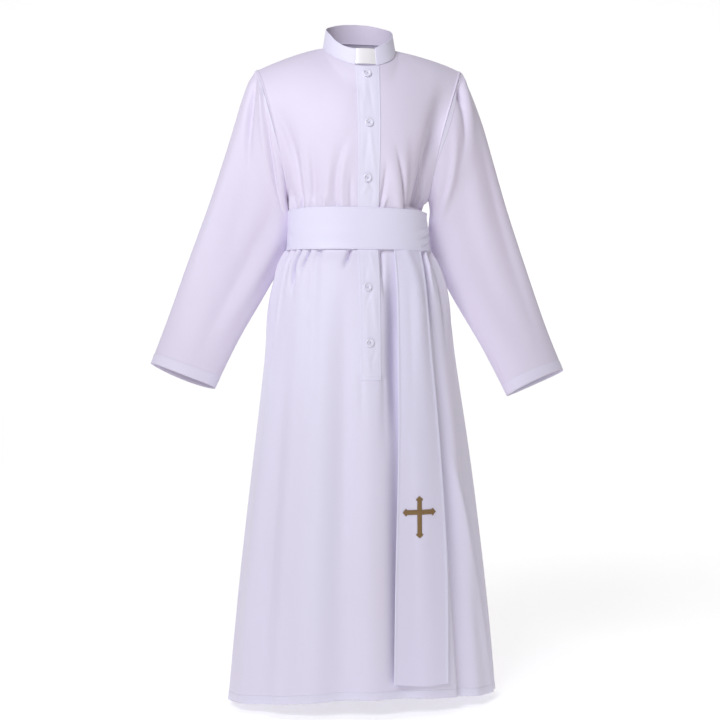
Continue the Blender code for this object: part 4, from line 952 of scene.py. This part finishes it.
Pull = namedtuple("Pull", "height aside slope wide reach depth")
PULLS = (
    Pull(-0.100, -0.005, 0.02, 0.0040, 0.026, 0.0008),
    Pull(-0.118, 0.006, -0.05, 0.0035, 0.028, -0.0008),
    Pull(-0.140, -0.011, 0.05, 0.0040, 0.022, 0.0006),
    Pull(-0.212, 0.004, -0.10, 0.0040, 0.030, 0.0010),
    Pull(-0.230, -0.007, 0.10, 0.0045, 0.034, -0.0010),
    Pull(-0.252, 0.009, -0.12, 0.0040, 0.022, 0.0008),
    Pull(-0.300, 0.003, -0.70, 0.0032, 0.010, -0.0014),
    Pull(-0.306, -0.007, 0.50, 0.0040, 0.012, 0.0012),
    Pull(-0.322, 0.007, 0.10, 0.0040, 0.014, -0.0008),
    Pull(-0.452, 0.006, -0.10, 0.0040, 0.020, 0.0008),
    Pull(-0.480, -0.009, 0.10, 0.0040, 0.016, -0.0008),
    Pull(-0.528, -0.005, 0.40, 0.0036, 0.012, -0.0012),
    Pull(-0.555, 0.007, -0.06, 0.0045, 0.034, 0.0010),
    Pull(-0.585, -0.009, 0.04, 0.0040, 0.030, 0.0007),
    Pull(-0.645, 0.004, 0.30, 0.0038, 0.014, -0.0011),
    Pull(-0.662, -0.007, -0.10, 0.0045, 0.020, 0.0009),
)


def on_front(levels, lefts, rights, steps, lift, valleys):
    """Points on the front panel between two distances from the centre, moved out by lift, with normals."""
    fine = np.linspace(-0.75, 0.75, 301)
    grid, outward = panel_surface(fine, levels, -1, valleys)
    where = lefts[:, None] + (rights - lefts)[:, None] * steps
    x = grid[..., 0]
    points, out = np.empty((*where.shape, 3)), np.empty((*where.shape, 3))
    for row in range(len(levels)):
        for i in range(3):
            points[row, :, i] = np.interp(where[row], x[row], grid[row, :, i])
            out[row, :, i] = np.interp(where[row], x[row], outward[row, :, i])
    return points + out * np.asarray(lift)[..., None], out


upper_rows = np.concatenate([[PLACKET_TOP_LEVEL, 0.014, 0.018], np.linspace(0.025, 1.0, 90)])
lower_rows = level_of(np.concatenate([
    np.linspace(-0.318, -0.695, 140), [-0.6975, -0.6988, -0.6994, -0.6998, PLACKET_END]
]))
placket_levels = np.concatenate([upper_rows, lower_rows])
share = placket_levels / placket_levels[-1]
lefts = PLACKET_TOP_EDGES[0] + (PLACKET_END_EDGES[0] - PLACKET_TOP_EDGES[0]) * share
rights = PLACKET_TOP_EDGES[1] + (PLACKET_END_EDGES[1] - PLACKET_TOP_EDGES[1]) * share
steps = edge_steps(22, 0.044, PLACKET_WALL / 2)
from_edge = np.minimum(steps, 1 - steps) * 0.044
dips = 0.00025 * np.exp(-(((from_edge - 0.004) / 0.0012) ** 2))
grid, outward = on_front(placket_levels, lefts, rights, steps, PLACKET_WALL + 0.0002 - dips[None, :], 0.5)
pulled = np.zeros(grid.shape[:2])
for pull in PULLS:
    down = grid[..., 2] - pull.height
    aside = (grid[..., 0] - pull.aside - pull.slope * down) / pull.wide
    pulled += pull.depth * np.exp(-(aside**2) - (down / pull.reach) ** 2)
grid = grid + outward * pulled[..., None]
piece = add_piece("placket_band", rounded_slab("placket_band", grid, outward, PLACKET_WALL), cassock_cloth)
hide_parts("placket")

placket_lines = []
for inset in (0.004, 0.040):
    column = np.abs(steps * 0.044 - inset).argmin()
    placket_lines.append(stitch_line(grid[2:-2, column], outward[2:-2, column], 0.0026, 0.0008, 0.0002))
for height in (-0.6965, -0.6870):
    row = np.abs(grid[:, len(steps) // 2, 2] - height).argmin()
    placket_lines.append(stitch_line(grid[row, 4:-4], outward[row, 4:-4], 0.0024, 0.0008, 0.0002))
sewing("placket_stitching", placket_lines)


# Buttons: round white polyester shirt buttons with a raised rim, a dished middle and four holes, sewn
# on with crossed thread. Five show: two are below the sash.
BUTTON_RADIUS = 0.009
BUTTON_HEIGHT = 0.0034
HOLE_RADIUS = 0.0009
HOLE_OUT = 0.0019

Button = namedtuple("Button", "height aside")
BUTTONS = (
    Button(-0.0675, 0.0000),
    Button(-0.1720, 0.0000),
    Button(-0.2840, -0.0040),
    Button(-0.5065, -0.0065),
    Button(-0.6185, -0.0042),
)
ButtonRing = namedtuple("ButtonRing", "out up")
BUTTON_RINGS = (
    ButtonRing(0.00, 0.45), ButtonRing(0.08, 0.45), ButtonRing(0.12, 0.45), ButtonRing(0.16, 0.45),
    ButtonRing(0.20, 0.45), ButtonRing(0.24, 0.45), ButtonRing(0.28, 0.44), ButtonRing(0.32, 0.43),
    ButtonRing(0.37, 0.42), ButtonRing(0.44, 0.42), ButtonRing(0.52, 0.46), ButtonRing(0.58, 0.62),
    ButtonRing(0.63, 0.86), ButtonRing(0.69, 1.00), ButtonRing(0.76, 1.02), ButtonRing(0.84, 0.95),
    ButtonRing(0.92, 0.84), ButtonRing(0.98, 0.68), ButtonRing(1.00, 0.50), ButtonRing(0.99, 0.30),
    ButtonRing(0.95, 0.12), ButtonRing(0.88, 0.00), ButtonRing(0.50, 0.00), ButtonRing(0.00, 0.00),
)


def button_mesh(name, centre, across, up, out):
    """A button as rings of points turned round its axis, with four holes sunk where the radius meets them."""
    turn = np.arange(64) * 2 * np.pi / 64
    radius = np.array([ring.out for ring in BUTTON_RINGS])[1:-1, None] * BUTTON_RADIUS
    rise = np.array([ring.up for ring in BUTTON_RINGS])[1:-1, None] * BUTTON_HEIGHT
    x, y = radius * np.cos(turn), radius * np.sin(turn)
    rise = rise + 0 * x
    for hole in np.radians([45, 135, 225, 315]):
        away = np.hypot(x - HOLE_OUT * np.cos(hole), y - HOLE_OUT * np.sin(hole))
        rise[:14] -= 0.40 * BUTTON_HEIGHT * smooth((HOLE_RADIUS - away[:14]) / 0.0004 + 0.5)
    points = centre + x[..., None] * across + y[..., None] * up + rise[..., None] * out
    rows, columns = x.shape
    number = np.arange(rows * columns).reshape(rows, columns)
    following = np.roll(number, -1, axis=1)
    quads = np.stack([number[:-1], number[1:], following[1:], following[:-1]], axis=-1).reshape(-1, 4)
    top = centre + out * BUTTON_RINGS[0].up * BUTTON_HEIGHT
    base = centre + out * 0
    first, last = rows * columns, rows * columns + 1
    fans = np.stack([np.full(columns, first), number[0], following[0]], axis=-1).tolist()
    fans += np.stack([np.full(columns, last), following[-1], number[-1]], axis=-1).tolist()
    mesh = bpy.data.meshes.new(name)
    mesh.from_pydata(np.concatenate([points.reshape(-1, 3), [top], [base]]), [], quads.tolist() + fans)
    mesh.shade_smooth()
    return mesh


button_plastic, shader, first = new_finish("button plastic", 0.24, Coat_Weight=0.3, Coat_Roughness=0.12)
place = first.add("ShaderNodeTexCoord", output=3)
cloud = first.add("ShaderNodeTexNoise", values={"Vector": place, "Scale": 240.0, "Detail": 2.0})
tone = first.add(
    "ShaderNodeMix",
    {"data_type": "RGBA"},
    {0: cloud, 6: (0.74, 0.72, 0.84, 1.0), 7: (0.84, 0.83, 0.93, 1.0)},
    output=2,
)
button_plastic.node_tree.links.new(tone.socket, shader.inputs["Base Color"])
button_plastic.node_tree.links.new((cloud * 0.1 + 0.2).socket, shader.inputs["Roughness"])

middle_column = len(steps) // 2
thread_lines = []
for number, button in enumerate(BUTTONS, start=1):
    row = np.abs(grid[:, middle_column, 2] - button.height).argmin()
    column = np.abs(grid[row, :, 0] - button.aside).argmin()
    out = outward[row, column]
    up = np.array([0.0, 0.0, 1.0]) - out * out[2]
    up = up / np.linalg.norm(up)
    across = np.cross(up, -out)
    centre = np.array([button.aside, grid[row, column, 1], button.height]) + out * 0.0003
    piece = add_piece(f"button_{number}_sewn", button_mesh(f"button_{number}_sewn", centre, across, up, out), button_plastic)
    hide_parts(f"button_{number}")
    for one, two in ((45, 225), (135, 315), (45, 135), (225, 315)):
        ends = [
            centre
            + (across * np.cos(np.radians(a)) + up * np.sin(np.radians(a))) * HOLE_OUT
            + out * BUTTON_HEIGHT * 0.52
            for a in (one, two)
        ]
        path = np.array(ends)
        length = np.linalg.norm(path[1] - path[0])
        path = np.linspace(path[0], path[1] + (path[1] - path[0]) * 0.02, 8)
        thread_lines.append(stitch_line(path, np.tile(out, (8, 1)), length * 0.98, 1e-6, 0.00028))
sewing("button_threads", thread_lines)


# Sash: a wide strip of doubled satin wound once round the waist over the gathered body. Its ends lap at
# the centre back, and both long edges are stitched close to the fold.
SASH_TOP = (-0.341, -0.344)
SASH_BOTTOM = (-0.4295, -0.424)
SASH_TILT = 0.0015
SASH_WALL = 0.0018
SASH_CLEARANCE = 0.0026
SASH_OVERLAP = 8.0
SASH_LAP_START = 0.80
SASH_LAP_LENGTH = 0.14
SASH_WIDTH = 0.084

Wrinkle = namedtuple("Wrinkle", "angle share reach slope wide depth")
SASH_WRINKLES = (
    Wrinkle(62, 0.42, 14, -0.06, 0.045, -0.0022),
    Wrinkle(64, 0.50, 14, -0.08, 0.050, 0.0022),
    Wrinkle(62, 0.62, 15, -0.10, 0.045, -0.0024),
    Wrinkle(66, 0.71, 14, -0.10, 0.055, 0.0022),
    Wrinkle(62, 0.83, 16, -0.12, 0.040, -0.0020),
    Wrinkle(70, 0.20, 11, -0.05, 0.050, -0.0014),
    Wrinkle(-30, 0.62, 26, 0.04, 0.14, 0.0006),
    Wrinkle(-70, 0.40, 14, -0.12, 0.10, 0.0009),
    Wrinkle(-78, 0.62, 12, 0.10, 0.07, -0.0009),
    Wrinkle(102, 0.45, 14, 0.10, 0.08, 0.0010),
    Wrinkle(120, 0.64, 16, -0.08, 0.08, -0.0009),
    Wrinkle(146, 0.38, 18, 0.06, 0.09, 0.0010),
    Wrinkle(168, 0.58, 14, 0.14, 0.08, -0.0009),
    Wrinkle(196, 0.46, 14, -0.10, 0.08, 0.0010),
    Wrinkle(216, 0.66, 16, 0.10, 0.08, -0.0009),
    Wrinkle(240, 0.40, 16, -0.06, 0.09, 0.0010),
    Wrinkle(258, 0.62, 14, 0.12, 0.08, 0.0008),
)


def sash_surface(turned, share):
    """The sash's outer face: the body's sections between its two edges, moved out, plus its wrinkles.

    The share runs from 0 at the top edge to 1 at the bottom edge, and turned from one end to the other.
    """
    turned, share = np.meshgrid(turned, share)
    angle = 180.0 - SASH_OVERLAP / 2 + turned * (360.0 + SASH_OVERLAP)
    front = (1 + np.cos(np.radians(angle))) / 2
    top = SASH_TOP[1] + (SASH_TOP[0] - SASH_TOP[1]) * front - SASH_TILT * (1 + np.sin(np.radians(angle)))
    bottom = SASH_BOTTOM[1] + (SASH_BOTTOM[0] - SASH_BOTTOM[1]) * front
    grid = ring_point(angle, top + (bottom - top) * share)
    outward = normals_of(grid)
    lap = (SASH_WALL + 0.0006) * smooth((turned - SASH_LAP_START) / SASH_LAP_LENGTH)
    lift = SASH_CLEARANCE + SASH_WALL + lap
    for wrinkle in SASH_WRINKLES:
        away = (angle - wrinkle.angle + 180.0) % 360.0 - 180.0
        line = wrinkle.share + wrinkle.slope * away / wrinkle.reach
        lift = lift + wrinkle.depth * np.exp(-((away / wrinkle.reach) ** 2) - ((share - line) / wrinkle.wide) ** 2)
    lift = lift + 0.0007 * np.sin(np.pi * share)
    edge = np.minimum(share, 1 - share) * SASH_WIDTH
    lift = lift - 0.00025 * np.exp(-(((edge - 0.004) / 0.0012) ** 2))
    grid = grid + outward * lift[..., None]
    return grid, normals_of(grid)


sash_cloth = satin_cloth(
    "sash satin", light=(0.825, 0.802, 0.965), deep=(0.785, 0.745, 0.900), roughness=0.50, weave=0.0006, crumple=0.07
)
sash_turned = edge_steps(330, 0.83, SASH_WALL / 2)
sash_share = edge_steps(34, SASH_WIDTH, SASH_WALL / 2)
grid, outward = sash_surface(sash_turned, sash_share)
piece = add_piece("waist_sash", rounded_slab("waist_sash", grid, outward, SASH_WALL, 0.8), sash_cloth)
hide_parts("sash")
sash_lines = []
for inset in (0.004, SASH_WIDTH - 0.004):
    row = np.abs(sash_share * SASH_WIDTH - inset).argmin()
    sash_lines.append(stitch_line(grid[row, 3:-3], outward[row, 3:-3], 0.0026, 0.0009, 0.0002))
sewing("sash_stitching", sash_lines)


# The sash's hanging end: a long flaring strip of the same doubled satin, tucked up behind the sash on
# the wearer's left. It falls in two soft flutes, then flat, and is stitched 6 mm in from its edges.
TAIL_WALL = 0.0014
TAIL_STAND_OFF = 0.0055
TAIL_FLUTE = 0.0012
TAIL_TURN = 0.0030
TAIL_END_CURVE = 0.005
TAIL_FALL = 0.10
TAIL_FLAT = -1.05
TAIL_FADE = 0.50
TAIL_MARGIN = 0.0036

TailRow = namedtuple("TailRow", "height left right")
TAIL_ROWS = (
    TailRow(-0.406, 0.053, 0.113),
    TailRow(-0.540, 0.052, 0.119),
    TailRow(-0.820, 0.051, 0.140),
    TailRow(-1.100, 0.043, 0.154),
    TailRow(-1.320, 0.039, 0.154),
)


def tail_surface(steps, heights):
    """The hanging end's outer face: the front panel's points between its edges, standing off the cloth."""
    lefts = through_rows(TAIL_ROWS, "left", "height", heights)
    rights = through_rows(TAIL_ROWS, "right", "height", heights)
    across, height = np.meshgrid(steps, heights)
    free = smooth((SASH_BOTTOM[0] - height) / TAIL_FALL)
    gathered = TAIL_FLUTE * free * smooth((height - TAIL_FLAT) / TAIL_FADE)
    lift = 0.0004 + TAIL_WALL + free * TAIL_STAND_OFF + gathered * (1 - np.cos(4 * np.pi * across)) / 2
    lift = lift - TAIL_TURN * free * smooth((across - 0.62) / 0.38) * smooth((height - TAIL_FLAT) / TAIL_FADE)
    wide = (rights - lefts)[:, None]
    edge = np.minimum(across, 1 - across) * wide
    lift = lift + 0.0011 * smooth((TAIL_MARGIN - edge) / 0.001 + 0.5)
    grid, outward = on_front(level_of(heights), lefts, rights, steps, lift, 0.08)
    grid[..., 2] -= TAIL_END_CURVE * np.sin(np.pi * across) * smooth((-1.25 - height) / 0.07)
    return grid, outward


tail_steps = edge_steps(44, 0.10, TAIL_WALL / 2)
tail_heights = np.concatenate([
    [-0.406, -0.4063, -0.407], np.linspace(-0.409, -1.3160, 240), [-1.3180, -1.3190, -1.3196, -1.320]
])
grid, outward = tail_surface(tail_steps, tail_heights)
from_edge = np.minimum(tail_steps, 1 - tail_steps) * (grid[:, -1:, 0] - grid[:, :1, 0])
in_margin = (from_edge < TAIL_MARGIN).astype(float)
in_margin = np.concatenate([in_margin.ravel(), in_margin[1:-1, 1:-1].ravel()])
tail_mesh = rounded_slab("sash_end", grid, outward, TAIL_WALL, 0.35 + 0.7 * in_margin)
piece = add_piece("sash_end", tail_mesh, sash_cloth)
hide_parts("sash_tail")
tail_lines = []
for side in (1, -1):
    wide = grid[:, -1, 0] - grid[:, 0, 0]
    place = TAIL_MARGIN / wide if side > 0 else 1 - TAIL_MARGIN / wide
    path = np.array([[np.interp(p, tail_steps, row[:, i]) for i in range(3)] for p, row in zip(place, grid)])
    normal = np.array([[np.interp(p, tail_steps, row[:, i]) for i in range(3)] for p, row in zip(place, outward)])
    tail_lines.append(stitch_line(path[12:-5], normal[12:-5], 0.0026, 0.0009, 0.0002))
row = np.abs(grid[:, 22, 2] - (-1.308 + TAIL_MARGIN)).argmin()
tail_lines.append(stitch_line(grid[row, 4:-4], outward[row, 4:-4], 0.0026, 0.0009, 0.0002))
sewing("sash_end_stitching", tail_lines)


# Cross: a plain Latin cross with pointed ends, embroidered in gold-brown thread. Each arm is satin
# stitch, threads laid side by side across it over a low padding.
CROSS_BAR = 0.0100
CROSS_ARMS = {"up": 0.032, "down": 0.0515, "side": 0.0350}
CROSS_CENTRE = (0.0955, -0.9585)
CROSS_THREAD = 0.00042

CrossWidth = namedtuple("CrossWidth", "short half")
CROSS_WIDTHS = (
    CrossWidth(0.0000, 0.0006),
    CrossWidth(0.0045, 0.0062),
    CrossWidth(0.0070, 0.0080),
    CrossWidth(0.0095, 0.0050),
    CrossWidth(0.0600, 0.0050),
)


def on_tail(x, z, grid, outward):
    """Points on the hanging end at these places across and up, with its normals there."""
    row = np.clip(np.searchsorted(-grid[:, 22, 2], -z), 1, len(grid) - 1)
    points = np.array([[np.interp(a, grid[r, :, 0], grid[r, :, i]) for i in range(3)] for a, r in zip(x, row)])
    normal = np.array([[np.interp(a, grid[r, :, 0], outward[r, :, i]) for i in range(3)] for a, r in zip(x, row)])
    points[:, 2] = z
    return points, normal


def satin_arm(length, dx, dz):
    """The threads of one arm, from the crossing out: each spans the arm's width at its place along it."""
    along = np.arange(CROSS_THREAD * 0.4, length, CROSS_THREAD * 0.92)
    half = np.interp(length - along, [row.short for row in CROSS_WIDTHS], [row.half for row in CROSS_WIDTHS])
    share = np.array([0.0, 0.12, 0.3, 0.5, 0.7, 0.88, 1.0])
    wide = (share[None, :] * 2 - 1) * half[:, None]
    x = CROSS_CENTRE[0] + dx * along[:, None] + dz * wide
    z = CROSS_CENTRE[1] + dz * along[:, None] - dx * wide
    surface, out = on_tail(x.ravel(), z.ravel(), grid, outward)
    bow = 0.0004 + 0.0012 * np.sqrt(np.clip(1 - (share * 2 - 1) ** 2, 0, 1))
    middle = surface.reshape(*x.shape, 3) + out.reshape(*x.shape, 3) * bow[None, :, None]
    out = out.reshape(*x.shape, 3)
    ahead = np.array([dx, 0.0, dz])
    turn = np.arange(5) * 2 * np.pi / 5
    ring = ahead * np.cos(turn)[:, None] + out[:, :, None] * np.sin(turn)[:, None]
    slim = np.array([0.5, 0.9, 1.0, 1.0, 1.0, 0.9, 0.5])[None, :, None, None]
    return middle[:, :, None] + ring * slim * CROSS_THREAD * 0.62


threads = np.concatenate([
    satin_arm(CROSS_ARMS["down"], 0.0, -1.0),
    satin_arm(CROSS_ARMS["up"], 0.0, 1.0),
    satin_arm(CROSS_ARMS["side"], 1.0, 0.0),
    satin_arm(CROSS_ARMS["side"], -1.0, 0.0),
])
number = np.arange(threads[..., 0].size).reshape(threads.shape[:3])
following = np.roll(number, -1, axis=2)
sides = np.stack([number[:, :-1], following[:, :-1], following[:, 1:], number[:, 1:]], axis=-1).reshape(-1, 4)
ends = np.concatenate([number[:, 0, ::-1], number[:, -1]])
mesh = bpy.data.meshes.new("embroidered_cross")
mesh.from_pydata(threads.reshape(-1, 3), [], sides.tolist() + ends.tolist())
mesh.shade_smooth()
gold_thread = thread_finish("gold-brown thread", (0.30, 0.182, 0.066), 0.42)
piece = add_piece("embroidered_cross", mesh, gold_thread)
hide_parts("sash_cross")


# Studio: a white sweep that is floor and backdrop in one, a large soft light in front on the left, and a
# level camera where the photograph was taken from.
FLOOR = -1.365
sweep_y = np.concatenate([[-4.5, 3.4], 3.4 + 1.2 * np.sin(np.linspace(0.1, np.pi / 2, 16)), [4.6]])
sweep_z = np.concatenate([[0, 0], 1.2 - 1.2 * np.cos(np.linspace(0.1, np.pi / 2, 16)), [5.0]])
x, y = np.meshgrid([-6.0, 6.0], sweep_y)
z = np.repeat(sweep_z[:, None], 2, axis=1) + FLOOR
mesh = bpy.data.meshes.new("studio_sweep")
number = np.arange(x.size).reshape(x.shape)
faces = np.stack([number[:-1, :-1], number[:-1, 1:], number[1:, 1:], number[1:, :-1]], axis=-1).reshape(-1, 4)
mesh.from_pydata(np.stack([x, y, z], axis=-1).reshape(-1, 3), [], faces)
mesh.shade_smooth()
sweep = bpy.data.objects.new("studio_sweep", mesh)
bpy.context.scene.collection.objects.link(sweep)
paper, shader, first = new_finish("white paper", 0.9)
shader.inputs["Base Color"].default_value = (0.92, 0.92, 0.93, 1.0)
shader.inputs["Emission Color"].default_value = (1.0, 1.0, 1.0, 1.0)
shader.inputs["Emission Strength"].default_value = 0.52
mesh.materials.append(paper)

world = bpy.data.worlds.new("studio")
world.use_nodes = True
world.node_tree.nodes["Background"].inputs["Color"].default_value = (1.0, 0.965, 0.94, 1.0)
world.node_tree.nodes["Background"].inputs["Strength"].default_value = 0.29
bpy.context.scene.world = world


def soft_light(name, place, aim, size, power):
    """A square area light at a place, turned towards its aim."""
    light = bpy.data.lights.new(name, "AREA")
    light.size = size
    light.energy = power
    light.spread = np.radians(90)
    light.color = (0.90, 0.92, 1.0)
    lamp = bpy.data.objects.new(name, light)
    lamp.location = place
    lamp.rotation_euler = (Vector(aim) - Vector(place)).to_track_quat("-Z", "Y").to_euler()
    bpy.context.scene.collection.objects.link(lamp)


soft_light("key", (-1.40, -2.25, 1.20), (0.0, 0.0, 0.05), 1.4, 16.6)

CAMERA_TURN = np.radians(-9.5)
camera = bpy.data.objects.new("camera", bpy.data.cameras.new("camera"))
camera.data.lens = 71.4
camera.data.sensor_width = 36.0
camera.location = (3.0 * np.sin(CAMERA_TURN), -3.0 * np.cos(CAMERA_TURN), -0.653)
camera.rotation_euler = (np.pi / 2, 0.0, CAMERA_TURN)
bpy.context.scene.collection.objects.link(camera)
bpy.context.scene.camera = camera
bpy.context.scene.view_settings.view_transform = "Standard"
